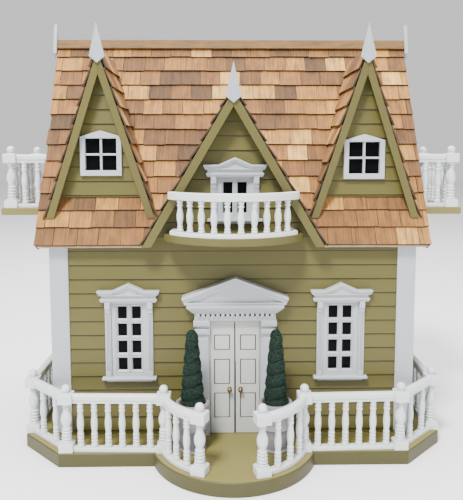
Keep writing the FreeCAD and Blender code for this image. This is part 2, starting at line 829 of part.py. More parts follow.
def arc_rail(centre_y, radius, deg0, deg1, z, section):
    """Curved rail about (0, centre_y), with angles measured from the front, positive to the right."""
    points = [vector(0, centre_y - radius + o, z + h) for o, h in section]
    face = Part.Face(Part.makePolygon(points + [points[0]]))
    face.rotate(vector(0, centre_y, 0), vector(0, 0, 1), deg0)
    return face.revolve(vector(0, centre_y, 0), vector(0, 0, 1), deg1 - deg0)


def on_arc(centre_y, radius, deg):
    angle = math.radians(deg)
    return (radius * math.sin(angle), centre_y - radius * math.cos(angle))


def between(start, end, count, gap):
    """Evenly spaced (x, y) places between two posts, gap clear of each."""
    length = math.hypot(end[0] - start[0], end[1] - start[1])
    pitch = (length - 2.0 * gap) / count
    places = []
    for index in range(count):
        share = (gap + (index + 0.5) * pitch) / length
        places.append((start[0] + share * (end[0] - start[0]), start[1] + share * (end[1] - start[1])))
    return places


def rail_pair(start, end, z, rail_z, height):
    """Bottom and top rail along a straight run."""
    return [straight_rail(start, end, z, flat_section(bottom_rail_h)),
            straight_rail(start, end, z + rail_z, rail_section(height))]


def porch():
    outer = on_arc(bulge_y, porch_arc_r, arc_outer_deg)
    runs = ((corner_newel, outer, 6), (corner_newel, chamfer_newel, 2), (chamfer_newel, rear_newel, 14))
    rails, places, posts = [], [], []
    for side in (-1, 1):
        for start, end, count in runs:
            a, b = (side * start[0], start[1]), (side * end[0], end[1])
            rails += rail_pair(a, b, base_t, porch_rail_z, rail_h)
            places += between(a, b, count, newel_w / 2.0)
        inner = entrance_deg[side]
        low, high = sorted((side * inner, side * arc_outer_deg))
        for z, section in ((base_t, flat_section(bottom_rail_h)),
                           (base_t + porch_rail_z, rail_section(rail_h))):
            rails.append(arc_rail(bulge_y, porch_arc_r, low, high, z, section))
        step = (arc_outer_deg - inner) / 4.0
        places += [on_arc(bulge_y, porch_arc_r, side * (inner + step * k)) for k in (1, 2, 3)]
        entrance = on_arc(bulge_y, porch_arc_r, side * inner)
        for post in (corner_newel, chamfer_newel, rear_newel, outer):
            posts.append(newel(side * post[0], post[1], base_t))
        posts.append(newel(*entrance, base_t, side * inner * entrance_turn))
    height = porch_rail_z - bottom_rail_h
    save("porch_rails", *[cut_all(rail, posts) for rail in rails])
    save("porch_balusters", *[baluster(x, y, base_t + bottom_rail_h, height) for x, y in places])
    save("porch_newels", *posts)


def front_balcony():
    low, high = front_balcony_z
    radius = front_balcony_r + front_balcony_edge
    disc = Part.makeCylinder(radius, high - low, vector(0, front_balcony_y, low))
    slab = disc.common(box(-front_balcony_half, front_balcony_half, -big, wall_y, 0, big))
    save("front_balcony_floor", slab)
    deg = front_balcony_deg
    end_x, end_y = on_arc(front_balcony_y, front_balcony_r, deg)
    return_x = end_x - rail_w / 2.0
    foot = [arc_rail(front_balcony_y, front_balcony_r, -deg, deg, high, flat_section(bottom_rail_h))]
    for side in (-1, 1):
        foot.append(straight_rail((side * return_x, end_y - 2.0), (side * return_x, wall_y - lap_butt),
                                  high, flat_section(bottom_rail_h)))
    top = arc_rail(front_balcony_y, front_balcony_r, -deg - 4.0, deg + 4.0,
                   high + front_balcony_rail_z, rail_section(front_balcony_rail_h))
    top = top.cut(box(-big, big, gable_front_y, big, 0, big))
    save("front_balcony_rails", fused(foot), top)
    height = front_balcony_rail_z - bottom_rail_h
    spots = [on_arc(front_balcony_y, front_balcony_r, -44.0 + 88.0 * k / 9.0) for k in range(10)]
    save("front_balcony_balusters", *[baluster(x, y, high + bottom_rail_h, height) for x, y in spots])


def balcony_slab(side):
    """Floor of a side balcony, from the wall panel outwards."""
    x0, x1 = sorted((side * wall_x, side * (side_balcony_x + side_balcony_lip)))
    y0 = side_balcony_y[0] - side_balcony_margin
    y1 = side_balcony_y[1] + side_balcony_margin
    return box(x0, x1, y0, y1, side_balcony_z[0], side_balcony_z[1])


def side_balcony(side):
    name = side_name(side)
    z = side_balcony_z[1]
    x = side * side_balcony_x
    wall = side * (house_half_width - 1.0)
    y0, y1 = side_balcony_y
    posts = [newel(x, y0, z), newel(x, y1, z)]
    inner = side * (house_half_width - 4.0)
    rails = rail_pair((x, y0), (x, y1), z, porch_rail_z, rail_h)
    places = between((x, y0), (x, y1), 6, newel_w / 2.0)
    for y in side_balcony_y:
        rails += rail_pair((wall, y), (x, y), z, porch_rail_z, rail_h)
        places += between((inner, y), (x, y), 3, newel_w / 2.0)
    height = porch_rail_z - bottom_rail_h
    save(name + "_balcony_floor", balcony_slab(side))
    save(name + "_balcony_railing", *[cut_all(rail, posts) for rail in rails])
    save(name + "_balcony_railing", *[baluster(px, py, z + bottom_rail_h, height) for px, py in places])
    save(name + "_balcony_railing", *posts)


# ---- planters ----

def planter(side):
    x = side * planter_x
    rim = planter_rim_z - base_t
    pot = lathe([(20.0, 0.0), (20.0, 3.0), (18.5, 4.5), (20.5, 30.0), (22.5, 54.0), (22.5, rim - 9.0),
                 (24.8, rim - 8.0), (24.8, rim)], x, planter_y, base_t)
    tree = lathe([(topiary_r, 0.0), (topiary_r, 12.0), (topiary_r * 0.62, 60.0), (topiary_r * 0.3, 95.0),
                  (2.5, topiary_top_z - planter_rim_z)], x, planter_y, planter_rim_z)
    save(side_name(side) + "_planter", pot)
    save(side_name(side) + "_topiary", tree)


def write_parts():
    os.makedirs("parts", exist_ok=True)
    for name, solids in nodes.items():
        Part.Compound(solids).exportStep("parts/" + name + ".step")
    print(len(nodes), "sub-parts written")


def build():
    base_deck()
    front_wall()
    for side in (-1, 1):
        gable_wall(side)
        side_siding(side)
        side_balcony(side)
        door_leaf(side)
        planter(side)
    upper_floor()
    partition_walls()
    staircase()
    front_siding()
    corner_boards()
    main_roof()
    ridge_cap()
    side_rakes()
    centre_gable()
    windows([dormer(side) for side in (-1, 1)])
    finials()
    door_surround()
    dentils()
    pediment()
    porch()
    front_balcony()
    write_parts()


build()
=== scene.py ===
"""Looks of the wooden dollhouse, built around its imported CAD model.

Shapes are worked out in millimetres in the row frame (X right, Y towards the open back, Z up) and
turned into metres when a piece's mesh is made.
"""
import math
import random

import bpy
import bmesh
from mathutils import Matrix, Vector, noise


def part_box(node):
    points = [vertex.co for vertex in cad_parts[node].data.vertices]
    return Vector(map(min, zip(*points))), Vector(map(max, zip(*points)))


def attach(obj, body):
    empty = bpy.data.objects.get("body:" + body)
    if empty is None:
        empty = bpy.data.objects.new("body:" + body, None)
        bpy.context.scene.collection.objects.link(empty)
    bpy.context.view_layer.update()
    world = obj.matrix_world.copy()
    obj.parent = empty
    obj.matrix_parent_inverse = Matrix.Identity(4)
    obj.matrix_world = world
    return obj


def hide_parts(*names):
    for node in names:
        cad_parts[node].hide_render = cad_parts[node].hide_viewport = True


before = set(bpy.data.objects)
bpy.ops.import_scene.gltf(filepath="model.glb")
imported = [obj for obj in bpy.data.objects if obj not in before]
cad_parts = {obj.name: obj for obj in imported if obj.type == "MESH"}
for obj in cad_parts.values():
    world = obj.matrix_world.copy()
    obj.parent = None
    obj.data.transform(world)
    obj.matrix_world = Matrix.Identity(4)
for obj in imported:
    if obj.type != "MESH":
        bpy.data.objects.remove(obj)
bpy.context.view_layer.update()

MM = 0.001
HOUSE = "house"
rng = random.Random(12)


# ---- positions taken from the CAD ----

class Extent:
    """A node's box in millimetres."""

    def __init__(self, node):
        low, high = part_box(node)
        self.x0, self.y0, self.z0 = (1000.0 * v for v in low)
        self.x1, self.y1, self.z1 = (1000.0 * v for v in high)
        self.x = (self.x0 + self.x1) / 2.0
        self.y = (self.y0 + self.y1) / 2.0


deck = Extent("base_deck")
boards = Extent("corner_boards")
wall = Extent("front_wall")
panel = Extent("front_roof_panel")
shingles = Extent("front_shingles")
ridge = Extent("ridge_board")

FACE_Y = boards.y0                 # face of the front corner boards
WALL_Y = wall.y0                   # face of the front wall panel
SIDE_X = Extent("right_gable_wall").x1
DECK_Z = deck.z1
RIDGE_Y = ridge.y
REAR_Y = boards.y1
HOUSE_X = boards.x1
DOOR_X = Extent("door_surround").x
EAVE_Y = shingles.y0
ROOF_TAN = (panel.z1 - shingles.z0) / (panel.y1 - panel.y0)
ROOF_ANGLE = math.atan(ROOF_TAN)
SHINGLE_T = 5.0
EAVE_Z = shingles.z0 + SHINGLE_T * math.cos(ROOF_ANGLE)
ROOF_RUN = (RIDGE_Y - EAVE_Y) / math.cos(ROOF_ANGLE)
RIDGE_Z = EAVE_Z + (RIDGE_Y - EAVE_Y) * ROOF_TAN

LAP = 21.4
LAP_FIRST_Z = 26.5
LAP_BUTT = 3.8
LAP_SPLIT_Z = 321.0                # the front laps are cut to the centre gable above this
LAP_TAIL = 1.6
COURSES = 13
CORNER_W = 27.8
CORNER_TOP = 11.2                  # depth of the corner boards' tops under the shingle faces
HOUSE_REAR = REAR_Y + 5.0

GABLE_SLOPE = 1.69
GABLE_LOW = 314.0
GABLE_SHINGLE_T = 5.5
GABLE_FRONT_Y = FACE_Y - 22.0
GABLE_APEX = 541.4
DORMER_SLOPE = 3.05
DORMER_LOW = 352.0
DORMER_X = Extent("right_dormer_window").x
DORMER_APEX = 601.0
DORMER_FRONT_Y = FACE_Y + 5.0
DORMER_FACE_Y = Extent("right_dormer_window").y1
CUTOUT_X = 232.0
CUTOUT_RUN = (560.0 - EAVE_Z) / math.sin(ROOF_ANGLE)

PANE_PITCH_Z = 26.7
SILL_H = 7.8
HOLE_HALF = 33.0                   # half of the gap in the laps behind a window
WINDOW_X = 160.2
WINDOW_Z = Extent("right_front_window").z0
CENTRE_Z = Extent("centre_window").z0
SIDE_WINDOW_Y = Extent("right_side_windows").y
SIDE_WINDOW_Z = (110.0, 374.0)

BULGE_Y = FACE_Y - 19.8
BULGE_R = 121.9


def roof_z(y, depth=0.0):
    """Height of the plane depth under the front shingle faces."""
    return EAVE_Z + (y - EAVE_Y) * ROOF_TAN - depth / math.cos(ROOF_ANGLE)


def slope_place(side):
    """Function from (x, run up the slope, height off the deck) to a point on a main roof slope."""
    def place(x, run, h):
        depth = SHINGLE_T - h
        y = EAVE_Y + run * math.cos(ROOF_ANGLE) + depth * math.sin(ROOF_ANGLE)
        z = EAVE_Z + run * math.sin(ROOF_ANGLE) - depth * math.cos(ROOF_ANGLE)
        if side == "rear":
            y = 2.0 * RIDGE_Y - y
        return (x, y, z)
    return place


def front_place(u, out, z):
    """Point on the front wall: u to the right, out from the wall panel."""
    return (u, WALL_Y - out, z)


def side_place(side):
    """Function for points on a gable wall: u runs back, out from the wall panel."""
    def place(u, out, z):
        return (side * (SIDE_X + out), u, z)
    return place


# ---- collecting meshes ----

GRAIN_SHIFT = 977.0                # moves the grain along by a piece's tone, so that no two match
GRAIN_ORDER = {"x": (0, 1, 2), "y": (1, 0, 2), "z": (2, 0, 1)}


class Shape:
    """Vertices and faces of one piece.

    Each face has a tone and a material slot. Each vertex has a grain coordinate, in millimetres,
    whose first part runs along the wood; axis says which way that is unless add() is told.
    """

    def __init__(self, axis="z"):
        self.axis = axis
        self.verts = []
        self.grain = []
        self.faces = []
        self.tones = []
        self.slots = []
        self.smooth = []

    def add(self, verts, faces, tone=0.5, slot=0, smooth=False, grain=None):
        base = len(self.verts)
        self.verts.extend(verts)
        order, shift = GRAIN_ORDER[self.axis], GRAIN_SHIFT * tone
        self.grain.extend(grain or [tuple(v[i] + shift for i in order) for v in verts])
        self.add_faces(base, faces, tone, slot, smooth)
        return base

    def add_faces(self, base, faces, tone, slot, smooth=False):
        for face in faces:
            self.faces.append([base + i for i in face])
            self.tones.append(tone)
            self.slots.append(slot)
            self.smooth.append(smooth)

    def add_bmesh(self, bm, place, tone, slot):
        bm.verts.index_update()
        verts = [place(*v.co) if place else tuple(v.co) for v in bm.verts]
        self.add(verts, [[v.index for v in face.verts] for face in bm.faces], tone, slot)
        bm.free()


def into_scene(name, data):
    obj = bpy.data.objects.new(name, data)
    bpy.context.scene.collection.objects.link(obj)
    return obj


def make_piece(name, shape, looks, slot, *replaced, body=HOUSE):
    """Mesh object from a Shape; it rides on a body and stands for the CAD nodes named."""
    mesh = bpy.data.meshes.new(name)
    mesh.from_pydata([(x * MM, y * MM, z * MM) for x, y, z in shape.verts], [], shape.faces)
    for look in looks.split():
        mesh.materials.append(LOOK[look])
    mesh.polygons.foreach_set("material_index", shape.slots)
    mesh.polygons.foreach_set("use_smooth", shape.smooth)
    bm = bmesh.new()
    bm.from_mesh(mesh)
    bmesh.ops.recalc_face_normals(bm, faces=bm.faces)
    bm.to_mesh(mesh)
    bm.free()
    layer = mesh.attributes.new("tone", "FLOAT", "FACE")
    layer.data.foreach_set("value", shape.tones)
    layer = mesh.attributes.new("grain", "FLOAT_VECTOR", "POINT")
    layer.data.foreach_set("vector", [c for point in shape.grain for c in point])
    obj = into_scene(name, mesh)
    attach(obj, body)
    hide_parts(*replaced)


# ---- solids ----

def soften(bm, r, segments):
    """Rounds every edge by r."""
    bmesh.ops.bevel(bm, geom=list(bm.edges), offset=r, segments=segments, profile=0.5,
                    affect="EDGES", clamp_overlap=True)


def round_box(shape, x0, x1, y0, y1, z0, z1, r=0.6, place=None, tone=0.5, slot=0, segments=2):
    """Box with rounded edges; x0 and x1 come in either order."""
    x0, x1 = sorted((x0, x1))
    bm = bmesh.new()
    bmesh.ops.create_cube(bm, size=1.0)
    for v in bm.verts:
        v.co = Vector(((x0 + x1) / 2 + v.co.x * (x1 - x0), (y0 + y1) / 2 + v.co.y * (y1 - y0),
                       (z0 + z1) / 2 + v.co.z * (z1 - z0)))
    soften(bm, r, segments)
    shape.add_bmesh(bm, place, tone, slot)


def extrude(shape, outline, h0, h1, place, r=0.0, tone=0.5, slot=0, segments=2):
    """Flat outline of (a, b) points between two heights, in either order, its edges rounded by r."""
    bm = bmesh.new()
    low, high = ([bm.verts.new((a, b, h)) for a, b in outline] for h in sorted((h0, h1)))
    bm.faces.new(low)
    bm.faces.new(high)
    for i in range(len(outline)):
        j = (i + 1) % len(outline)
        bm.faces.new((low[i], low[j], high[j], high[i]))
    bmesh.ops.recalc_face_normals(bm, faces=bm.faces)
    if r > 0.0:
        soften(bm, r, segments)
    shape.add_bmesh(bm, place, tone, slot)


def bands(rows, n, closed=False):
    """Faces between neighbouring rings of n points; closed joins the last ring to the first."""
    faces = []
    for i in range(rows if closed else rows - 1):
        a, b = i * n, (i + 1) % rows * n
        faces += [[a + k, a + (k + 1) % n, b + (k + 1) % n, b + k] for k in range(n)]
    return faces


def caps(rows, n):
    """Faces that close the first and the last ring."""
    return [list(range(n)), [(rows - 1) * n + k for k in range(n)]]


def mitres(path, closed):
    """Unit side vectors of a plan path, lengthened at its corners so that offsets stay parallel."""
    count = len(path)
    result = []
    for i in range(count):
        before = path[i - 1] if (closed or i > 0) else None
        after = path[(i + 1) % count] if (closed or i < count - 1) else None
        normals = []
        for a, b in ((before, path[i]), (path[i], after)):
            if a is None or b is None:
                continue
            dx, dy = b[0] - a[0], b[1] - a[1]
            length = math.hypot(dx, dy)
            normals.append((dy / length, -dx / length))
        if len(normals) == 1:
            result.append(normals[0])
            continue
        sx, sy = normals[0][0] + normals[1][0], normals[0][1] + normals[1][1]
        size = math.hypot(sx, sy)
        sx, sy = sx / size, sy / size
        cosine = sx * normals[0][0] + sy * normals[0][1]
        result.append((sx / cosine, sy / cosine))
    return result


def sweep(shape, path, profile, place, closed=False, tone=0.5):
    """Profile of (offset to the right of the path, height) points carried along a plan path."""
    rows, n = len(path), len(profile)
    verts = []
    for (px, py), (mx, my) in zip(path, mitres(path, closed)):
        verts += [place(px + mx * offset, py + my * offset, h) for offset, h in profile]
    shape.add(verts, bands(rows, n, closed) + ([] if closed else caps(rows, n)), tone)


def slab(shape, outline, edge):
    """Flat slab whose edge follows (inset, height) points from its underside to its top.

    The edge faces take the second material.
    """
    sides = mitres(outline, True)
    verts = []
    for inset, h in edge:
        verts += [(px - mx * inset, py - my * inset, h) for (px, py), (mx, my) in zip(outline, sides)]
    base = shape.add(verts, caps(len(edge), len(outline)))
    shape.add_faces(base, bands(len(edge), len(outline)), 0.5, 1)


def lathe(shape, profile, x, y, z, n=20, tone=0.5, slot=0, place=None):
    """Turned solid of n sides from (radius, height) points."""
    verts = []
    for r, h in profile:
        for k in range(n):
            angle = 2.0 * math.pi * k / n
            point = (x + r * math.cos(angle), y + r * math.sin(angle), z + h)
            verts.append(place(*point) if place else point)
    shape.add(verts, caps(len(profile), n) + bands(len(profile), n), tone, slot, True)


def turned(start, parts):
    """(radius, height) points of a turning.

    Each part is (kind, radius, height) and runs from the last point: flat goes straight there, bead
    swells by radius and returns, cove hollows by radius and returns, ease blends to the radius.
    """
    points = [start]
    for kind, radius, height in parts:
        r0, h0 = points[-1]
        if kind == "flat":
            points.append((radius, height))
            continue
        steps = 7
        for i in range(1, steps + 1):
            t = i / steps
            if kind == "bead":
                r = r0 + radius * math.sin(math.pi * t) ** 0.6
            elif kind == "cove":
                r = r0 - radius * math.sin(math.pi * t)
            else:
                r = r0 + (radius - r0) * (0.5 - 0.5 * math.cos(math.pi * t))
            points.append((r, h0 + (height - h0) * t))
    return points


def arc_points(cx, cy, r, deg0, deg1, count):
    """Points on an arc, measured from straight ahead of the house, positive to the right."""
    points = []
    for i in range(count + 1):
        angle = math.radians(deg0 + (deg1 - deg0) * i / count)
        points.append((cx + r * math.sin(angle), cy - r * math.cos(angle)))
    return points


def plan(x, y, h):
    return (x, y, h)


def end_on(y, z, x):
    """Point of a (y, z) outline that is carried along x."""
    return (x, y, z)


def facing(x, z, y):
    """Point of an (x, z) outline that is carried along y."""
    return (x, y, z)


def clip(poly, a, b, c):
    """Part of a convex polygon where a*u + b*v <= c."""
    result = []
    for i, p in enumerate(poly):
        q = poly[(i + 1) % len(poly)]
        dp, dq = a * p[0] + b * p[1] - c, a * q[0] + b * q[1] - c
        if dp <= 0:
            result.append(p)
        if (dp < 0 < dq) or (dq < 0 < dp):
            t = dp / (dp - dq)
            result.append((p[0] + t * (q[0] - p[0]), p[1] + t * (q[1] - p[1])))
    return result


def area(poly):
    """Area of a polygon; fewer than three points have none."""
    total = 0.0
    for i, p in enumerate(poly):
        q = poly[(i + 1) % len(poly)]
        total += p[0] * q[1] - p[1] * q[0]
    return abs(total) / 2.0


def flat_under(s):
    return 0.0


def wedge(shape, poly, line, thickness, place, chamfer, tone, under=flat_under, across=False):
    """Tapered board over a convex polygon of (u, s) points.

    thickness(s) and under(s) are the heights of its face and its underside off the panel. Its lower
    edge, at s = line, is eased by chamfer; this and the sides take the second material. The grain
    runs along s, or along u if across is set.
    """
    if area(poly) < 3.0:
        return
    cut = line + chamfer
    outline = []
    for i, p in enumerate(poly):
        q = poly[(i + 1) % len(poly)]
        outline.append(p)
        if (p[1] - cut) * (q[1] - cut) < 0:
            t = (cut - p[1]) / (q[1] - p[1])
            outline.append((p[0] + t * (q[0] - p[0]), cut))

    def height(s):
        eased = chamfer - (s - line) if s < cut - 1e-6 else 0.0
        return thickness(s) - eased

    n = len(outline)
    verts = [place(u, s, height(s)) for u, s in outline]
    verts += [place(u, s, under(s)) for u, s in outline]
    shift = GRAIN_SHIFT * tone
    grain = [(u + shift, s, shift) if across else (s + shift, u, shift) for u, s in outline] * 2
    index = {(round(u, 4), round(s, 4)): i for i, (u, s) in enumerate(outline)}
    faces = [[i + n for i in range(n)]]
    edges = [[i, (i + 1) % n, (i + 1) % n + n, i + n] for i in range(n)]
    for part, group in ((clip(poly, 0.0, 1.0, cut), edges), (clip(poly, 0.0, -1.0, -cut), faces)):
        keys = [(round(u, 4), round(s, 4)) for u, s in part]
        ring = [index[key] for key in keys if key in index]
        ring = [k for m, k in enumerate(ring) if k != ring[m - 1]]
        if len(ring) >= 3:
            group.append(ring)
    base = shape.add(verts, faces, tone, 0, False, grain)
    # The eased lower edge and the sides take the second material, which is darker: painted shade along the
    # edge.
    shape.add_faces(base, edges, tone, 1)


# ---- materials ----

LOOK = {}


class Nodes:
    """A material's node tree, with short ways to add to it."""

    def __init__(self, name):
        self.material = bpy.data.materials.new(name + "_look")
        LOOK[name] = self.material
        self.material.use_nodes = True
        self.tree = self.material.node_tree
        self.tree.nodes.clear()
        out = self.node("ShaderNodeOutputMaterial")
        self.shader = self.node("ShaderNodeBsdfPrincipled")
        self.link(self.shader.outputs["BSDF"], out.inputs["Surface"])

    def node(self, kind, values=(), **settings):
        """New node with fixed socket values and settings."""
        made = self.tree.nodes.new(kind)
        for key, value in settings.items():
            setattr(made, key, value)
        for key, value in dict(values).items():
            made.inputs[key].default_value = value
        return made

    def link(self, a, b):
        self.tree.links.new(a, b)

    def feed(self, socket, value):
        """Sets a socket to a fixed value, or links it to another."""
        if isinstance(value, (int, float, tuple)):
            socket.default_value = value
        else:
            self.link(value, socket)

    def math(self, operation, a, b):
        made = self.node("ShaderNodeMath", operation=operation)
        self.feed(made.inputs[0], a)
        self.feed(made.inputs[1], b)
        return made.outputs[0]

    def attribute(self, name, output):
        return self.node("ShaderNodeAttribute", attribute_name=name).outputs[output]

    def wood_coordinates(self, source, axis="z"):
        """Grain coordinates in millimetres: from the mesh's attribute, or from object space."""
        if source == "grain":
            return self.attribute("grain", "Vector")
        scaled = self.node("ShaderNodeVectorMath", {"Scale": 1000.0}, operation="SCALE")
        self.link(self.node("ShaderNodeTexCoord").outputs["Object"], scaled.inputs[0])
        split = self.node("ShaderNodeSeparateXYZ")
        self.link(scaled.outputs[0], split.inputs[0])
        joined = self.node("ShaderNodeCombineXYZ")
        for target, i in enumerate(GRAIN_ORDER[axis]):
            self.link(split.outputs[i], joined.inputs[target])
        return joined.outputs[0]

    def noise(self, place, stretch, detail=4.0, rough=0.55):
        """Noise value at place, whose coordinates are scaled by stretch, one number or three."""
        factors = stretch if isinstance(stretch, tuple) else (stretch,) * 3
        scaled = self.node("ShaderNodeVectorMath", {1: factors}, operation="MULTIPLY")
        self.link(place, scaled.inputs[0])
        made = self.node("ShaderNodeTexNoise", {"Scale": 1.0, "Detail": detail, "Roughness": rough})
        self.link(scaled.outputs[0], made.inputs["Vector"])
        return made.outputs["Fac"]

    def spread(self, value, amount):
        """Turns a 0 to 1 value into an offset of up to amount each way."""
        return self.math("MULTIPLY", self.math("SUBTRACT", value, 0.5), 2.0 * amount)

    def around(self, centre, *parts):
        """The centre plus an offset of up to amount each way for every (value, amount)."""
        total = self.math("ADD", self.spread(*parts[0]), centre)
        for part in parts[1:]:
            total = self.math("ADD", total, self.spread(*part))
        return total

    def ramp(self, value, stops):
        """Colour at a value along (position, colour) stops, of which the first two are the ends."""
        made = self.node("ShaderNodeValToRGB")
        elements = made.color_ramp.elements
        for i, (position, colour) in enumerate(stops):
            stop = elements[i] if i < 2 else elements.new(position)
            stop.position = position
            stop.color = colour + (1.0,)
        self.link(value, made.inputs["Fac"])
        return made.outputs["Color"]

    def surface(self, colour, factor, rough):
        """Base colour, as a colour times a varying factor, and roughness."""
        scaled = self.node("ShaderNodeVectorMath", operation="SCALE")
        self.feed(scaled.inputs[0], colour)
        self.link(factor, scaled.inputs["Scale"])
        self.link(scaled.outputs[0], self.shader.inputs["Base Color"])
        self.feed(self.shader.inputs["Roughness"], rough)

    def bump(self, height, distance, strength=1.0):
        made = self.node("ShaderNodeBump", {"Strength": strength, "Distance": distance})
        self.link(height, made.inputs["Height"])
        self.link(made.outputs[0], self.shader.inputs["Normal"])


def painted(name, colour, rough=0.42, source="grain", axis="z", blotch=0.05, tone=0.03, depth=0.00012):
    """Brushed paint over wood: faint grain, uneven sheen and slight changes of colour."""
    n = Nodes(name)
    place = n.wood_coordinates(source, axis)
    streaks = n.noise(place, (0.02, 0.55, 0.55), 5.0)
    brush = n.noise(place, (0.06, 2.4, 2.4), 2.0)
    parts = [(n.noise(place, (0.02, 0.025, 0.025), 3.0), blotch), (streaks, 0.05)]
    if source == "grain":
        parts.append((n.attribute("tone", "Fac"), tone))
    n.surface(colour, n.around(1.0, *parts), n.around(rough, (streaks, 0.10)))
    n.bump(n.math("ADD", streaks, n.math("MULTIPLY", brush, 0.5)), depth)


def cedar(name, stops, source="grain", axis="z", rough=0.78, depth=0.0004):
    """Bare sawn cedar: one colour per piece, picked along stops by its tone, with dark grain lines."""
    n = Nodes(name)
    place = n.wood_coordinates(source, axis)
    tone = n.attribute("tone", "Fac") if source == "grain" else n.noise(place, (0.004, 0.03, 0.03), 2.0)
    lines = n.noise(place, (0.020, 0.36, 0.36), 5.0, 0.70)
    fine = n.noise(place, (0.12, 2.6, 2.6), 2.0)
    weather = n.noise(place, (0.05, 0.07, 0.07), 3.0)
    n.surface(n.ramp(tone, stops), n.around(1.0, (lines, 1.35), (weather, 0.55), (fine, 0.40)),
              n.around(rough, (lines, 0.10)))
    n.bump(n.math("ADD", lines, n.math("MULTIPLY", fine, 0.6)), depth)


def planks(name, colour, width, length):
    """Varnished floor boards with thin dark joints, in object space."""
    n = Nodes(name)
    place = n.wood_coordinates("object", "y")
    greys = {key: (v, v, v, 1.0) for key, v in (("Color1", 0.82), ("Color2", 1.14), ("Mortar", 0.25))}
    brick = n.node("ShaderNodeTexBrick", {"Scale": 1.0, "Brick Width": length, "Row Height": width,
                                          "Mortar Size": 0.28, "Mortar Smooth": 0.2, **greys},
                   offset=0.37, offset_frequency=2)
    n.link(place, brick.inputs["Vector"])
    lines = n.noise(place, (0.02, 0.7, 0.7), 5.0, 0.6)
    factor = n.math("MULTIPLY", brick.outputs["Color"], n.around(1.0, (lines, 0.30)))
    n.surface(colour, factor, n.around(0.34, (lines, 0.08)))
    n.bump(n.math("SUBTRACT", n.math("MULTIPLY", lines, 0.3), brick.outputs["Fac"]), 0.0003)


def glazing_painted_shade():
    """Near-black panes: painted shade that stands for the dark rooms behind them."""
    n = Nodes("window_pane")
    haze = n.noise(n.wood_coordinates("object"), 0.05, 3.0)
    n.shader.inputs["IOR"].default_value = 1.1
    n.surface((0.003, 0.0035, 0.004), n.math("ADD", haze, 0.5), n.math("MULTIPLY", haze, 0.22))
    n.bump(haze, 0.0002, 0.3)


def brass():
    n = Nodes("brass")
    marks = n.noise(n.wood_coordinates("object"), 0.6, 4.0)
    n.shader.inputs["Metallic"].default_value = 1.0
    n.surface((0.24, 0.165, 0.080), n.around(1.0, (marks, 0.25)), n.around(0.30, (marks, 0.12)))
    n.bump(marks, 0.0001, 0.4)


def foliage():
    """Dark green flocked leaves, each a little different."""
    n = Nodes("foliage")
    greens = ((0.0, (0.0010, 0.0036, 0.0022)), (1.0, (0.026, 0.056, 0.040)))
    mottle = n.noise(n.wood_coordinates("grain"), 0.35, 3.0)
    n.surface(n.ramp(n.attribute("tone", "Fac"), greens), n.math("ADD", mottle, 0.5),
              n.around(0.72, (mottle, 0.1)))
    n.shader.inputs["Specular IOR Level"].default_value = 0.15
    n.bump(mottle, 0.0005)


def cast_resin():
    """Matte grey planter with faint speckles."""
    n = Nodes("planter")
    place = n.wood_coordinates("grain")
    specks = n.noise(place, 1.6, 2.0)
    clouds = n.noise(place, 0.08, 4.0)
    n.surface((0.20, 0.195, 0.215), n.around(1.0, (clouds, 0.16), (specks, 0.10)),
              n.around(0.62, (clouds, 0.1)))
    n.bump(n.math("ADD", specks, clouds), 0.0002)


def soil():
    n = Nodes("soil")
    crumbs = n.noise(n.wood_coordinates("grain"), 0.7, 5.0, 0.7)
    n.surface((0.05, 0.035, 0.022), n.math("ADD", crumbs, 0.5), 0.95)
    n.bump(crumbs, 0.0015)


OLIVE = (0.090, 0.079, 0.0145)
WHITE = (0.64, 0.66, 0.68)
CEDAR_STOPS = ((0.0, (0.072, 0.033, 0.008)), (1.0, (0.54, 0.31, 0.090)), (0.12, (0.115, 0.049, 0.011)),
               (0.38, (0.180, 0.074, 0.014)), (0.64, (0.255, 0.109, 0.020)), (0.86, (0.350, 0.168, 0.034)))
# These stops colour the shingles' butts and sides: darker end grain, deepened by painted shade for the shadow
# line under each course.
END_GRAIN_SHADE_STOPS = ((0.0, (0.013, 0.007, 0.003)), (1.0, (0.045, 0.022, 0.009)))
RIDGE_STOPS = ((0.0, (0.090, 0.042, 0.007)), (1.0, (0.132, 0.066, 0.011)))

painted("siding", OLIVE, 0.46, blotch=0.05, tone=0.05)
# Near-black olive for the lower edges and sides of the lap boards: painted shade for the shadow under each
# lap.
painted("siding_edge", (0.014, 0.012, 0.004), 0.6)
painted("deck", (0.172, 0.152, 0.040), 0.5, blotch=0.06, depth=0.0002)
# The deck's upright edges get a far darker olive than its top: painted shade, since they face sideways and
# catch less light.
painted("deck_edge", (0.052, 0.046, 0.005), 0.5, blotch=0.06, depth=0.0002)
painted("white", WHITE, 0.38)
# trim and joinery are the white paint darkened: painted shade for the upright faces of the corner boards,
# windows, door surround and pediment, which catch less light than the rails.
painted("trim", (0.37, 0.40, 0.43), 0.42)
painted("joinery", (0.42, 0.44, 0.465), 0.40)
painted("door", (0.50, 0.51, 0.49), 0.40)
# Near-black: painted shade in the gap between the door leaves, in the grooves round the door panels and
# between the dentils.
painted("groove", (0.02, 0.02, 0.022), 0.6)
painted("rake", (0.092, 0.078, 0.014), 0.5, blotch=0.10, tone=0.05, depth=0.0002)
# finial is the white paint darkened: painted shade for the upright kite finials.
painted("finial", (0.34, 0.37, 0.40), 0.5)
cedar("shingle", CEDAR_STOPS)
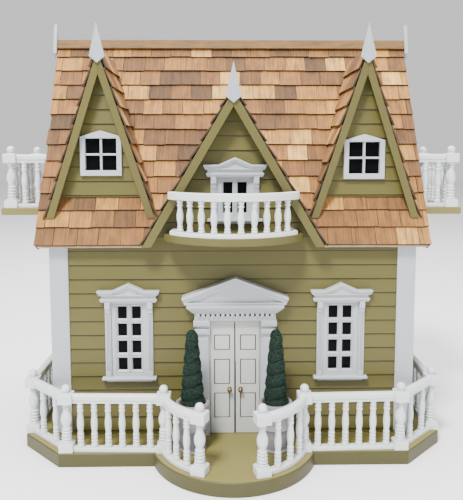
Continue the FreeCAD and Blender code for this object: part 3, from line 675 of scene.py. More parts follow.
# Butts and sides of the shingles: end grain darkened further as painted shade.
cedar("shingle_end", END_GRAIN_SHADE_STOPS, depth=0.0002)
cedar("ridge", RIDGE_STOPS, depth=0.0002)
glazing_painted_shade()
brass()
foliage()
cast_resin()
soil()
painted("room", (0.66, 0.60, 0.46), 0.6, "object", "z", blotch=0.04)
cedar("ply", ((0.0, (0.36, 0.25, 0.15)), (1.0, (0.46, 0.33, 0.20))), "object", "x", 0.7)
painted("soffit", OLIVE, 0.5, "object", "y")
planks("floor", (0.27, 0.145, 0.065), 14.0, 150.0)
cedar("stair", ((0.0, (0.20, 0.11, 0.05)), (1.0, (0.27, 0.15, 0.07))), "object", "x", 0.4)


# ---- pieces: base and walls ----

def subtract(polys, u0, u1, s0, s1):
    """Convex polygons with a rectangle taken out of them."""
    result = []
    for poly in polys:
        left = clip(poly, 1.0, 0.0, u0)
        right = clip(poly, -1.0, 0.0, -u1)
        middle = clip(clip(poly, -1.0, 0.0, -u0), 1.0, 0.0, u1)
        below = clip(middle, 0.0, 1.0, s0)
        above = clip(middle, 0.0, -1.0, -s1)
        result += [part for part in (left, right, below, above) if area(part) > 1.0]
    return result


def rectangle(u0, u1, s0, s1):
    return [(u0, s0), (u1, s0), (u1, s1), (u0, s1)]


def lap_boards(shape, u0, u1, z0, z1, first, place, limits=(), holes=()):
    """Lap siding: one tapered board a course, cut to the limits (a, b, c) and round the holes."""
    k = math.floor((z0 - first) / LAP)
    while first + k * LAP < z1:
        line = first + k * LAP
        k += 1
        poly = rectangle(u0, u1, max(line, z0), min(line + LAP, z1))
        for limit in limits:
            poly = clip(poly, *limit)
        if area(poly) < 2.0:
            continue
        parts = [poly]
        for hole in holes:
            parts = subtract(parts, *hole)
        tone = rng.random()

        def thickness(s, line=line):
            return LAP_BUTT - (LAP_BUTT - LAP_TAIL) * (s - line) / LAP

        for part in parts:
            wedge(shape, part, line, thickness, place, 1.25, tone, across=True)


def base_deck():
    """Base board with its chamfered corners and the round step in front of the door."""
    half, front = deck.x1, FACE_Y - 58.7
    reach = math.degrees(math.acos((BULGE_Y - front) / BULGE_R))
    outline = [(-half, deck.y1), (-half, front + 66.0), (66.0 - half, front)]
    outline += arc_points(0.0, BULGE_Y, BULGE_R, -reach, reach, 56)
    outline += [(half - 66.0, front), (half, front + 66.0), (half, deck.y1)]
    shape = Shape("x")
    edge = [(0.8, 0.0), (0.0, 0.8), (0.0, DECK_Z - 1.8), (0.25, DECK_Z - 1.0), (0.8, DECK_Z - 0.3),
            (1.7, DECK_Z)]
    slab(shape, outline, edge)
    # The edge faces of the slab take the second, darker olive: painted shade on the board's sides.
    make_piece("base_board", shape, "deck deck_edge", "deck_paint", "base_deck")


def gable_limit(cx, apex, slope, side):
    """Limit that keeps what is under one slope of a gable: slope*side*u + z <= its height."""
    return (slope * side, 1.0, apex + slope * side * cx)


def main_roof_limits(depth):
    """Limits that keep what is under both main slopes, in (y, z)."""
    lift = depth / math.cos(ROOF_ANGLE)
    front = (-ROOF_TAN, 1.0, EAVE_Z - EAVE_Y * ROOF_TAN - lift)
    rear = (ROOF_TAN, 1.0, EAVE_Z + (2.0 * RIDGE_Y - EAVE_Y) * ROOF_TAN - lift)
    return (front, rear)


def front_siding():
    shape = Shape("x")
    edge = HOUSE_X - CORNER_W + 1.0
    holes = [(DOOR_X - 56.0, DOOR_X + 56.0, 0.0, 210.0)]
    holes += [window_hole(x, WINDOW_Z, 4) for x in (DOOR_X - WINDOW_X, DOOR_X + WINDOW_X)]
    holes.append(window_hole(DOOR_X, CENTRE_Z, 2))

    def place(u, z, h):
        return front_place(u, h, z)

    lap_boards(shape, -edge, edge, DECK_Z, LAP_SPLIT_Z, LAP_FIRST_Z, place, (), holes)
    drop = 6.0 * math.hypot(1.0, GABLE_SLOPE)
    limits = [gable_limit(0.0, GABLE_APEX - drop, GABLE_SLOPE, side) for side in (-1, 1)]
    lap_boards(shape, -edge, edge, LAP_SPLIT_Z, 527.0, LAP_FIRST_Z, place, limits, holes)
    make_piece("front_laps", shape, "siding siding_edge", "siding_paint", "front_siding")


def side_siding(name, side):
    shape = Shape("y")
    holes = [window_hole(SIDE_WINDOW_Y, z, 4) for z in SIDE_WINDOW_Z]
    floor = Extent(name + "_balcony_floor")
    holes.append((floor.y0 + 1.0, floor.y1 - 1.0, floor.z0 + 1.0, floor.z1 - 1.0))
    out = side_place(side)

    def place(u, z, h):
        return out(u, h, z)

    lap_boards(shape, FACE_Y + CORNER_W - 1.0, HOUSE_REAR - CORNER_W + 1.0, DECK_Z, 612.0, LAP_FIRST_Z,
               place, main_roof_limits(11.0), holes)
    make_piece(name + "_laps", shape, "siding siding_edge", "siding_paint", name + "_siding")


def corner_boards():
    """At each side: a board on the front, one behind it on the flank, and one at the rear."""
    shape = Shape("z")
    back = FACE_Y + 5.0
    low = boards.z0
    for side in (-1, 1):
        for y0, y1, inner in ((FACE_Y, back, HOUSE_X - CORNER_W), (back, FACE_Y + CORNER_W, SIDE_X),
                              (HOUSE_REAR - CORNER_W, REAR_Y, SIDE_X)):
            tops = [(y, roof_z(min(y, 2.0 * RIDGE_Y - y), CORNER_TOP)) for y in (y1, y0)]
            extrude(shape, [(y0, low), (y1, low)] + tops, side * inner, side * HOUSE_X, end_on, 0.7,
                    rng.random())
    # The corner boards take the darkened white: painted shade on their upright faces.
    make_piece("corner_trim", shape, "trim", "white_paint", "corner_boards")


# ---- pieces: roof ----

def outside_gable(polys, cx, apex, slope, low_run):
    """Parts of (x, run) polygons that lie beside or above a cross gable's roof.

    Below low_run the gable doesn't stand on the roof and everything stays.
    """
    sine = math.sin(ROOF_ANGLE)

    def beside(poly, side):
        half = clip(poly, -side, 0.0, -side * cx)
        return clip(half, -slope * side, -sine, EAVE_Z - apex - slope * side * cx)

    result = []
    for poly in polys:
        upper = clip(poly, 0.0, -1.0, -low_run)
        parts = (clip(poly, 0.0, 1.0, low_run), beside(upper, -1), beside(upper, 1))
        result += [part for part in parts if area(part) > 1.0]
    return result


def merged(whole, parts):
    """The whole polygon if the parts cover all of it, so that it isn't split without need."""
    return [whole] if abs(sum(area(p) for p in parts) - area(whole)) < 0.5 else parts


def course(shape, u0, u1, line, pitch, place, thick, tail, cutter, gap_under, width=33.5, wide=1.1):
    """One course of shingles with uneven butts, gaps and tones; cutter trims each polygon.

    gap_under is the height of a butt's underside off the panel.
    """
    u = u0 - rng.uniform(0.0, 1.0) * width
    while u < u1:
        w = width + rng.uniform(-2.6, 2.6)
        butt = line + (rng.uniform(0.0, 1.5) if line > 1.0 else rng.uniform(0.0, 0.8))
        lean = rng.uniform(-0.45, 0.45)
        gap = rng.uniform(0.35, wide)
        a, b = max(u, u0), min(u + w - gap, u1)
        u += w
        if b - a < 4.0:
            continue
        lift = rng.uniform(-0.35, 0.0)
        tone = rng.random()
        top = line + pitch + 2.2
        poly = [(a, butt - min(lean, 0.0)), (b, butt + max(lean, 0.0)), (b, top), (a, top)]
        start = min(poly[0][1], poly[1][1])

        def thickness(s, start=start, lift=lift):
            share = min(max((s - start) / pitch, 0.0), 1.0)
            return thick + lift - (thick - tail) * share

        def under(s, start=start):
            share = min(max((s - start) / pitch, 0.0), 1.0)
            return gap_under * (1.0 - share)

        for part in cutter([poly]):
            wedge(shape, part, start, thickness, place, 0.35, tone, under)


def main_shingles():
    pitch = ROOF_RUN / COURSES
    face_run = roof_run(DORMER_FACE_Y)

    def front_cutter(polys):
        whole = polys[0]
        polys = outside_gable(polys, 0.0, GABLE_APEX, GABLE_SLOPE, -1.0)
        for x in (-DORMER_X, DORMER_X):
            polys = outside_gable(polys, x, DORMER_APEX, DORMER_SLOPE, face_run)
        return merged(whole, polys)

    def rear_cutter(polys):
        whole = polys[0]
        return merged(whole, subtract(polys, -CUTOUT_X, CUTOUT_X, -1.0, CUTOUT_RUN))

    for name, side, cutter in (("front", "front", front_cutter), ("rear", "rear", rear_cutter)):
        shape = Shape()
        place = slope_place(side)
        for k in range(COURSES):
            line = k * pitch
            limit = min(pitch, ROOF_RUN - 6.5 - line)
            course(shape, shingles.x0, shingles.x1, line, limit, place, SHINGLE_T, 2.2, cutter, 1.8)
        make_piece(name + "_slope_shingles", shape, "shingle shingle_end",
                   "cedar_shingle", name + "_shingles")


def roof_run(y):
    """Distance up the front slope of the point on its face at depth y."""
    return (y - EAVE_Y) / math.cos(ROOF_ANGLE)


def gable_place(cx, apex, slope, low, side):
    """Function from (y, distance up from the low end, height off the boards) to a cross gable's slope."""
    cosine = 1.0 / math.hypot(1.0, slope)
    sine = slope * cosine
    length = (apex - low) / sine

    def place(y, s, h):
        t = max(length - s, -h * slope)
        return (cx + side * (t * cosine + h * sine), y, apex - t * sine + h * cosine)

    return place, length, sine


def gable_shingles(name, cx, apex, slope, low, front_y):
    shape = Shape()
    for side in (-1, 1):
        place, length, sine = gable_place(cx, apex, slope, low, side)
        limit = (ROOF_TAN, -sine, apex - length * sine - EAVE_Z + EAVE_Y * ROOF_TAN + 1.5)

        def cutter(polys, limit=limit):
            kept = [clip(poly, *limit) for poly in polys]
            return [poly for poly in kept if area(poly) > 2.0]

        count = round(length / 28.0)
        pitch = length / count
        for k in range(count):
            course(shape, front_y, RIDGE_Y, k * pitch, pitch, place, GABLE_SHINGLE_T, 2.0, cutter, 2.9)
    make_piece(name + "_slope_shingles", shape, "shingle shingle_end", "cedar_shingle", name + "_shingles")


def ridge_cap():
    """Two long boards that cover the ridge."""
    shape = Shape("x")
    thick = 2.7
    peak = RIDGE_Z + thick / math.cos(ROOF_ANGLE)
    for name in ("front", "rear"):
        place = slope_place(name)
        low = place(0.0, ROOF_RUN - 12.0, SHINGLE_T)
        high = place(0.0, ROOF_RUN - 12.0, SHINGLE_T + thick)
        outline = [low[1:], high[1:], (RIDGE_Y, peak), (RIDGE_Y, RIDGE_Z)]
        extrude(shape, outline, ridge.x0, ridge.x1, end_on, 0.35, rng.random())
    make_piece("ridge_cap", shape, "ridge", "ridge_cedar", "ridge_board")


def side_rakes():
    """Boards under the shingles along both ends of the main roof."""
    shape = Shape("y")
    edge = Extent("side_rake_boards")
    for name in ("front", "rear"):
        place = slope_place(name)
        ends = [place(0.0, 0.0, 0.0)[1:], place(0.0, 0.0, -12.0)[1:]]
        peaks = [(RIDGE_Y, RIDGE_Z - d / math.cos(ROOF_ANGLE)) for d in (SHINGLE_T + 12.0, SHINGLE_T)]
        for x0, x1 in ((edge.x0, edge.x0 + 3.0), (edge.x1 - 3.0, edge.x1)):
            extrude(shape, ends + peaks, x0, x1, end_on, 0.4, rng.random())
    make_piece("side_rakes", shape, "rake", "rake_paint", "side_rake_boards")


def gable_rakes():
    """Boards along the fronts of the three cross gables."""
    shape = Shape("z")
    for cx, apex, slope, low, front_y, width in (
            (0.0, GABLE_APEX, GABLE_SLOPE, GABLE_LOW, GABLE_FRONT_Y, 12.0),
            (-DORMER_X, DORMER_APEX, DORMER_SLOPE, DORMER_LOW + 2.0, DORMER_FRONT_Y, 10.8),
            (DORMER_X, DORMER_APEX, DORMER_SLOPE, DORMER_LOW + 2.0, DORMER_FRONT_Y, 10.8)):
        drop = width * math.hypot(1.0, slope)
        for side in (-1, 1):
            outline = [(cx, apex), (cx + side * (apex - low) / slope, low),
                       (cx + side * (apex - low - drop) / slope, low), (cx, apex - drop)]
            extrude(shape, outline, front_y, front_y + 3.0, facing, 0.4, rng.random())
    make_piece("gable_rakes", shape, "rake", "rake_paint", "gable_rake_boards")


def kite(low):
    """Outline of a kite finial from its lower tip."""
    return [(0.0, low), (11.5, low + 9.4), (0.0, low + 59.0), (-11.5, low + 9.4)]


def finials():
    shape = Shape("z")
    for x, y, apex in ((-DORMER_X, DORMER_FRONT_Y, DORMER_APEX), (DORMER_X, DORMER_FRONT_Y, DORMER_APEX),
                       (0.0, GABLE_FRONT_Y, GABLE_APEX)):
        outline = [(x + u, z) for u, z in kite(apex - 19.0)]
        extrude(shape, outline, y - 3.5, y, facing, 0.7, rng.random())
    make_piece("gable_finials", shape, "finial", "finial_paint", "front_finials")
    shape = Shape("z")
    box = Extent("side_finials")
    for x0 in (box.x0, box.x1 - 6.0):
        outline = [(RIDGE_Y + u, z) for u, z in kite(box.z0)]
        extrude(shape, outline, x0, x0 + 6.0, end_on, 1.1, rng.random())
    make_piece("roof_end_finials", shape, "finial", "finial_paint", "side_finials")


def dormer_siding(name, side):
    shape = Shape("x")
    x = side * DORMER_X
    window = Extent(name + "_dormer_window")
    drop = 5.0 * math.hypot(1.0, DORMER_SLOPE)
    limits = [gable_limit(x, DORMER_APEX - drop, DORMER_SLOPE, s) for s in (-1, 1)]
    holes = [(x - 27.0, x + 27.0, window.z0 + 4.0, window.z0 + 56.0)]

    def place(u, z, h):
        return (u, DORMER_FACE_Y - h, z)

    lap_boards(shape, x - 90.0, x + 90.0, 385.0, 590.0, 387.2, place, limits, holes)
    make_piece(name + "_dormer_laps", shape, "siding siding_edge", "siding_paint", name + "_dormer_siding")


# ---- pieces: windows ----

def body_height(rows):
    """From a window's sill to the underside of its cornice."""
    return rows * PANE_PITCH_Z + 8.5


def window_hole(x, z, rows):
    """Gap in the lap boards behind a window."""
    return (x - HOLE_HALF, x + HOLE_HALF, z + 5.0, z + SILL_H + body_height(rows))


def blocks(shape, place, x):
    """Function that adds a rounded block, its sides measured from x."""
    def block(u0, u1, out0, out1, z0, z1, r=0.4, segments=2):
        round_box(shape, x + u0, x + u1, out0, out1, z0, z1, r, place, segments=segments)
    return block


def stack(shape, place, x, z, steps, r=0.35):
    """Moulding of bevelled steps, each (half width, out, low, high), seen from the front."""
    block = blocks(shape, place, x)
    for half, out, low, high in steps:
        block(-half, half, 0.0, out, z + low, z + high, r)


def front_panel(shape, place, x, z, outline, out, r, segments=2):
    """Outline of (u, v) points from x, z, standing out from the wall."""
    extrude(shape, [(x + u, z + v) for u, v in outline], 0.0, out, lambda u, v, o: place(u, o, v), r,
            segments=segments)


WINDOW_HOOD = (
    ([(-42.0, 1.8), (42.0, 1.8), (42.0, 3.6), (22.0, 3.6), (0.0, 13.4), (-22.0, 3.6), (-42.0, 3.6)], 9.6),
    ([(-45.4, 2.0), (-23.4, 2.0), (0.0, 12.0), (23.4, 2.0), (45.4, 2.0), (45.4, 5.0), (24.0, 5.0),
      (0.0, 15.6), (-24.0, 5.0), (-45.4, 5.0)], 12.4),
    ([(-46.5, 4.8), (-24.0, 4.8), (0.0, 15.2), (24.0, 4.8), (46.5, 4.8), (46.5, 7.5), (24.5, 7.5),
      (0.0, 18.5), (-24.5, 7.5), (-46.5, 7.5)], 14.0))


def pane_frame(shape, place, x, z, width, height, profile):
    """Moulded frame round one pane whose centre is at x, z; profile is (offset, out) points."""
    w, h = width / 2.0, height / 2.0
    path = [(x - w, z - h), (x + w, z - h), (x + w, z + h), (x - w, z + h)]
    sweep(shape, path, profile, lambda u, v, out: place(u, out, v), closed=True)


def window(shape, place, x, z, rows):
    """Window with pilasters, brackets, sill, cornice, peaked hood and a sash of glazing bars."""
    block = blocks(shape, place, x)
    sill = z + SILL_H
    top = sill + body_height(rows)
    stack(shape, place, x, z, [(34.0, 7.0, 0.0, 1.6), (35.0, 8.0, 1.4, 3.8)])
    block(-41.0, 41.0, 0.0, 13.0, z + 3.7, sill, 1.1, 3)
    for side in (-1, 1):
        block(side * 27.0, side * 36.0, 0.0, 6.0, sill - 0.3, top + 0.3)
        block(side * 27.8, side * 35.5, 5.0, 8.0, sill - 0.2, sill + 8.0, 0.5)
        for centre in (29.6, 31.65, 33.7):
            block(side * (centre - 0.75), side * (centre + 0.75), 5.0, 7.6, sill + 7.6, top - 16.0, 0.6)
        bracket = [(5.0, -16.4), (8.0, -16.4), (8.6, -15.6), (8.0, -14.8), (8.8, -13.8), (8.2, -12.8),
                   (9.4, -11.6), (8.9, -10.6), (10.5, -9.6), (10.5, 0.2), (5.0, 0.2)]
        extrude(shape, [(out, top + v) for out, v in bracket], x + side * 27.8, x + side * 35.5,
                lambda out, v, u: place(u, out, v), 0.2)
    stack(shape, place, x, top, [(41.2, 9.6, 0.0, 1.6), (42.0, 10.3, 1.4, 3.0), (42.6, 11.0, 2.8, 6.0),
                                 (40.8, 8.5, 5.8, 10.7)])
    base = top + 10.5
    stack(shape, place, x, base, [(43.8, 11.2, 0.0, 2.2)])
    for outline, out in WINDOW_HOOD:
        front_panel(shape, place, x, base, outline, out, 0.3)
    for side in (-1, 1):
        block(side * 20.9, side * 27.0, -3.0, 2.6, sill, top, 0.3)
    for low, high in ((sill, sill + 4.3), (top - 4.3, top)):
        block(-21.4, 21.4, -3.0, 2.2, low, high, 0.3)
    block(-1.0, 1.0, -3.0, 1.0, sill + 4.0, top - 4.0, 0.2)
    profile = [(0.0, -3.0), (3.7, -3.0), (3.7, 1.2), (3.0, 2.0), (1.7, 2.0), (0.9, 0.4), (0.0, -0.4)]
    for row in range(rows):
        centre = sill + 4.25 + (row + 0.5) * PANE_PITCH_Z
        if row:
            low = centre - PANE_PITCH_Z / 2.0
            block(-21.2, 21.2, -3.0, 1.0, low - 1.0, low + 1.0, 0.2)
        for column in (-0.5, 0.5):
            pane_frame(shape, place, x + column * 21.3, centre, 13.6, 19.2, profile)


def windows():
    for name, x, z, rows in (("left_front_window", DOOR_X - WINDOW_X, WINDOW_Z, 4),
                             ("right_front_window", DOOR_X + WINDOW_X, WINDOW_Z, 4),
                             ("centre_window", DOOR_X, CENTRE_Z, 2)):
        shape = Shape("z")
        window(shape, front_place, x, z, rows)
        make_piece(name + "_joinery", shape, "joinery", "white_paint", name)
    for name, side in (("left", -1), ("right", 1)):
        shape = Shape("z")
        for z in SIDE_WINDOW_Z:
            window(shape, side_place(side), SIDE_WINDOW_Y, z, 4)
        make_piece(name + "_side_window_joinery", shape, "joinery", "white_paint", name + "_side_windows")
        shape = Shape("z")
        box = Extent(name + "_dormer_window")
        dormer_window(shape, box.x, box.z0, box.y1)
        make_piece(name + "_dormer_joinery", shape, "joinery", "white_paint", name + "_dormer_window")


def dormer_window(shape, x, z, back):
    """Square window of four panes with a shallow peaked head."""
    def place(u, out, v):
        return (u, back - out, v)

    block = blocks(shape, place, x)
    for side in (-1, 1):
        block(side * 23.4, side * 31.0, 0.0, 8.0, z, z + 57.0, 0.8, 3)
    block(-30.6, 30.6, 0.0, 7.9, z, z + 7.8, 0.8, 3)
    head = [(-31.0, 56.0), (31.0, 56.0), (31.0, 58.5), (0.0, 67.5), (-31.0, 58.5)]
    front_panel(shape, place, x, z, head, 8.0, 0.8, 3)
    block(-1.6, 1.6, 0.0, 5.6, z + 7.0, z + 56.0, 0.6)
    block(-24.0, 24.0, 0.0, 5.6, z + 30.4, z + 33.5, 0.6)
    profile = [(0.0, 0.0), (1.2, 0.0), (1.2, 4.0), (0.7, 4.0), (0.0, 2.6)]
    for column in (-1, 1):
        for row in (0, 1):
            pane_frame(shape, place, x + 12.5 * column, z + 19.55 + 24.8 * row, 21.9, 22.7, profile)


# ---- pieces: front door ----

DOOR_HALF = 38.75                  # middle of the doorway to a jamb
DOOR_TOP = 200.0
PANELS = ((45.4, 85.1), (98.7, 138.4), (152.4, 176.4))


def pillow(shape, x0, x1, low, high, out):
    """Capital block with a rounded lower front, seen from the front."""
    outline = [(0.0, low)]
    for i in range(7):
        angle = math.radians(15.0 * i)
        outline.append((out - 3.4 + 3.4 * math.sin(angle), low + 4.6 - 4.6 * math.cos(angle)))
    outline += [(out, high - 0.9), (out - 0.9, high), (0.0, high)]
    extrude(shape, outline, x0, x1, lambda o, v, u: front_place(u, o, v), 0.25)


def door_surround():
    shape = Shape("z")
    x = DOOR_X
    head = DOOR_TOP + 0.6
    low = DECK_Z
    for side in (-1, 1):
        jamb = x + side * DOOR_HALF
        block = blocks(shape, front_place, jamb)
        block(0.0, side * 4.0, -8.0, 4.0, low, head)
        block(side * 0.2, side * 20.6, 0.0, 10.0, low, low + 17.0, 0.8)
        block(side * 0.9, side * 19.9, 0.0, 9.4, low + 16.5, low + 19.0, 0.8)
        block(side * 1.5, side * 19.3, 0.0, 8.6, low + 18.5, 190.0, 0.6)
        block(side * 4.0, side * 16.8, 0.0, 9.2, low + 24.0, 172.0, 0.5)
        pillow(shape, jamb + side * 0.2, jamb + side * 22.2, 177.4, 187.8, 12.0)
        pillow(shape, jamb + side * 0.2, jamb + side * 24.0, 190.4, head + 0.2, 13.5)
    half = DOOR_HALF
    block = blocks(shape, front_place, x)
    block(-half - 4.0, half + 4.0, -8.0, 4.0, head, DOOR_TOP + 4.6)
    block(-half, half, 2.3, 4.0, DOOR_TOP - 3.0, head, 0.3)
    stack(shape, front_place, x, 0.0, [
        (half + 22.5, 11.0, head, 212.8), (half + 24.4, 14.2, 212.5, 214.4),
        (half + 26.6, 15.8, 214.2, 216.2), (half + 28.5, 17.0, 216.0, 218.1),
        (half + 30.4, 18.0, 217.9, 219.8), (half + 32.4, 19.2, 219.6, 221.6),
        (half + 34.0, 20.0, 221.4, 226.0)], 0.45)
    make_piece("door_frame", shape, "joinery", "white_paint", "door_surround")

    shape = Shape("z")
    for index in range(16):
        middle = x + (index - 7.5) * 7.4
        round_box(shape, middle - 2.2, middle + 2.2, 10.6, 14.0, 206.6, 212.6, 0.45, front_place)
        # Near-black blocks in the gaps between the dentils: painted shade.
        if index:
            notch = middle - 3.7
            round_box(shape, notch - 1.35, notch + 1.35, 10.6, 11.4, 207.2, 210.6, 0.1, front_place, 0.5, 1)
    make_piece("dentil_row", shape, "joinery groove", "white_paint", "door_dentils")


def pediment():
    """Low triangular pediment: sunk field under a two-step raking cornice."""
    shape = Shape("x")
    outlines = (([(-75.0, 226.0), (75.0, 226.0), (75.0, 236.0), (0.0, 263.0), (-75.0, 236.0)], 13.0),
                ([(-76.5, 226.0), (76.5, 226.0), (76.5, 229.4), (-76.5, 229.4)], 17.4),
                ([(-78.0, 229.0), (-74.0, 229.0), (0.0, 255.6), (74.0, 229.0), (78.0, 229.0), (78.0, 234.6),
                  (0.0, 262.6), (-78.0, 234.6)], 17.4),
                ([(-79.5, 232.6), (0.0, 261.4), (79.5, 232.6), (79.5, 238.0), (0.0, 267.0),
                  (-79.5, 238.0)], 20.0))
    for outline, out in outlines:
        front_panel(shape, front_place, DOOR_X, 0.0, outline, out, 0.45)
    make_piece("pediment", shape, "joinery", "white_paint", "door_pediment")


def door_leaf(name, side):
    """Leaf with a rounded hinge edge, built as a core with stiles, rails and flush panels on each face."""
    shape = Shape("z")
    box = Extent(name + "_door_leaf")
    free = DOOR_X + side * 1.35
    hinge = DOOR_X + side * 35.75
    front, back, skin = box.y0, box.y1, 0.8
    centre = (front + back) / 2.0
    # The core and the left leaf's strip at its free edge take the near-black second material: painted shade
    # in the gap between the leaves.
    free_core = [(free, front + skin), (free, back - skin), (hinge + side * 0.3, back - skin),
                 (hinge + side * 0.3, front + skin)]
    extrude(shape, free_core, box.z0 + 0.05, box.z1 - 0.05, plan, 0.0, slot=1)
    if side < 0:
        round_box(shape, free - 1.0, free + 2.2, front + 1.0, back - 0.5, box.z0 + 0.5, box.z1 - 1.0, 0.2,
                  slot=1)
    outline = []
    for i in range(9):
        angle = math.radians(90.0 - 22.5 * i)
        outline.append((hinge + side * 2.5 * math.cos(angle), centre + 2.5 * math.sin(angle)))
    extrude(shape, outline, box.z0, box.z1, plan, 0.0)
    middle = DOOR_X + side * 19.8
    stiles = ((hinge + side * 0.3, middle + side * 12.2), (middle - side * 12.2, free))
    gaps = [box.z0] + [v for pair in PANELS for v in pair] + [box.z1]
    groove = 1.5
    for y0, y1, inner in ((front, front + skin + 0.1, front + skin - 0.12),
                          (back - skin - 0.1, back, back - skin + 0.12)):
        for a, b in stiles:
            round_box(shape, a, b, y0, y1, box.z0, box.z1, 0.12, tone=0.4)
        for low, high in zip(gaps[0::2], gaps[1::2]):
            round_box(shape, middle - 12.25, middle + 12.25, y0, y1, low, high, 0.12, tone=0.6)
        for low, high in PANELS:
            round_box(shape, middle - 12.2 + groove, middle + 12.2 - groove, y0, y1, low + groove,
                      high - groove, 0.12, None, 0.5)
            a, b = sorted((inner, centre))
            # Near-black block behind each panel: painted shade in the groove round it.
            round_box(shape, middle - 12.1, middle + 12.1, a, b, low + 0.1, high - 0.1, 0.05, slot=1)
    make_piece(name + "_leaf_joinery", shape, "door groove",
               "door_paint", name + "_door_leaf", body=name + "_door")

    shape = Shape("z")
    knob = Extent(name + "_door_knob")
    profile = turned((3.5, 0.0), [("flat", 3.6, 0.3), ("flat", 3.6, 0.7), ("ease", 1.7, 1.3),
                                  ("flat", 1.5, 2.6), ("ease", 2.4, 3.5)])
    profile += [(3.75 * math.cos(math.radians(a)), 5.7 + 2.85 * math.sin(math.radians(a)))
                for a in range(-44, 85, 14)]
    lathe(shape, profile, 0.0, 0.0, 0.0, 24,
          place=lambda a, b, h: (knob.x + a, front - h, (knob.z0 + knob.z1) / 2.0 + b))
    make_piece(name + "_knob", shape, "brass", "brass_hardware", name + "_door_knob", body=name + "_door")


# ---- pieces: railings and balconies ----

def mirrored(right):
    """Outline that is the same on both sides, from its right half, which starts at the bottom."""
    left = [(-a, h) for a, h in reversed(right)]
    return left[-1:] + right + left[:-1]


TOP_RAIL = mirrored([(3.9, 0.0), (4.1, 3.4), (4.7, 4.6), (5.5, 5.2), (5.5, 9.6), (5.2, 10.9), (4.3, 12.1),
                     (2.9, 12.8), (1.4, 13.0)])
FLAT_RAIL = mirrored([(5.2, 0.0), (5.5, 0.4), (5.5, 4.9), (5.1, 5.6), (4.4, 6.0)])
BALCONY_RAIL = mirrored([(4.8, 0.0), (5.5, 0.8), (5.5, 9.6), (5.0, 10.6), (4.0, 11.0)])
POST_HALF = 10.25                  # half of a newel's plinth and block
RAIL_Z = 72.4                      # underside of the top rail over the floor
FOOT_H = 6.0                       # height of the bottom rail
STICK_H = RAIL_Z - FOOT_H
BALCONY_R = 110.0                  # middle line of the front balcony's rails


def raised(profile, z):
    return [(offset, z + h) for offset, h in profile]


def porch_baluster(shape, x, y, floor):
    """Turned baluster: foot, three rings, a long vase, and two rings under the rail."""
    h = STICK_H
    profile = turned((4.9, -0.2), [
        ("flat", 5.0, 0.02 * h), ("flat", 4.9, 0.06 * h), ("ease", 3.9, 0.105 * h), ("bead", 0.8, 0.175 * h),
        ("flat", 3.85, 0.185 * h), ("bead", 0.85, 0.25 * h), ("flat", 3.8, 0.26 * h),
        ("bead", 0.85, 0.325 * h), ("flat", 3.8, 0.335 * h), ("ease", 4.95, 0.50 * h),
        ("flat", 4.95, 0.55 * h), ("ease", 3.75, 0.765 * h), ("flat", 3.7, 0.785 * h),
        ("bead", 0.9, 0.86 * h), ("flat", 3.6, 0.87 * h), ("bead", 0.85, 0.94 * h), ("flat", 3.8, 0.95 * h),
        ("ease", 4.4, 0.98 * h), ("flat", 4.4, h + 0.2)])
    lathe(shape, profile, x, y, floor + FOOT_H, 18, rng.random())


def balcony_baluster(shape, x, y, floor):
    """Short vase-shaped baluster with a bold ring under the rail."""
    h = 45.0
    profile = turned((4.6, -0.2), [
        ("flat", 4.7, 0.06 * h), ("ease", 3.4, 0.11 * h), ("bead", 0.9, 0.17 * h), ("flat", 3.3, 0.18 * h),
        ("ease", 4.9, 0.44 * h), ("flat", 4.9, 0.50 * h), ("ease", 3.2, 0.78 * h), ("flat", 3.1, 0.80 * h),
        ("bead", 1.4, 0.87 * h), ("flat", 3.2, 0.88 * h), ("ease", 4.3, 0.94 * h),
        ("flat", 4.3, h + 0.2)])
    lathe(shape, profile, x, y, floor + FOOT_H, 20, rng.random())


def newel(shape, x, y, z, turn=0.0):
    """Newel post: bevelled plinth, stack of rings, vase, square block, collar and ball."""
    tone = rng.random()
    half = POST_HALF
    cosine, sine = math.cos(math.radians(turn)), math.sin(math.radians(turn))

    def turned_place(u, v, h):
        return (x + u * cosine - v * sine, y + u * sine + v * cosine, z + h)

    round_box(shape, -half, half, -half, half, 0.0, 11.4, 0.8, turned_place, tone)
    round_box(shape, -8.8, 8.8, -8.8, 8.8, 10.8, 13.4, 1.2, turned_place, tone)
    profile = turned((6.3, 13.0), [
        ("bead", 1.4, 16.2), ("flat", 5.7, 16.6), ("flat", 5.7, 17.4), ("bead", 1.7, 21.2),
        ("flat", 5.6, 21.5), ("flat", 5.6, 22.2), ("bead", 1.7, 26.0), ("flat", 5.5, 26.3),
        ("flat", 5.5, 27.0), ("bead", 1.6, 30.6), ("flat", 5.3, 30.9), ("flat", 5.3, 31.5),
        ("bead", 1.4, 34.8), ("flat", 4.9, 35.2), ("ease", 7.6, 45.5), ("flat", 7.8, 48.5),
        ("ease", 4.3, 63.0), ("flat", 4.2, 64.6), ("bead", 1.5, 67.2), ("flat", 4.9, 67.6),
        ("ease", 6.3, 70.6), ("flat", 6.3, 72.4)])
    lathe(shape, profile, x, y, z, 24, tone)
    round_box(shape, -half, half, -half, half, 72.0, 86.5, 1.1, turned_place, tone)
    ball = turned((6.6, 86.2), [("flat", 6.6, 87.2), ("ease", 4.2, 88.6)])
    ball += [(6.3 * math.cos(math.radians(a)), 92.7 + 6.3 * math.sin(math.radians(a)))
             for a in range(-36, 88, 9)]
    lathe(shape, ball, x, y, z, 24, tone)


def between(start, end, count, gap=POST_HALF):
    """Evenly spaced places between two posts, gap clear of each."""
    length = math.hypot(end[0] - start[0], end[1] - start[1])
    pitch = (length - 2.0 * gap) / count
    places = []
    for index in range(count):
        share = (gap + (index + 0.5) * pitch) / length
        places.append((start[0] + share * (end[0] - start[0]), start[1] + share * (end[1] - start[1])))
    return places


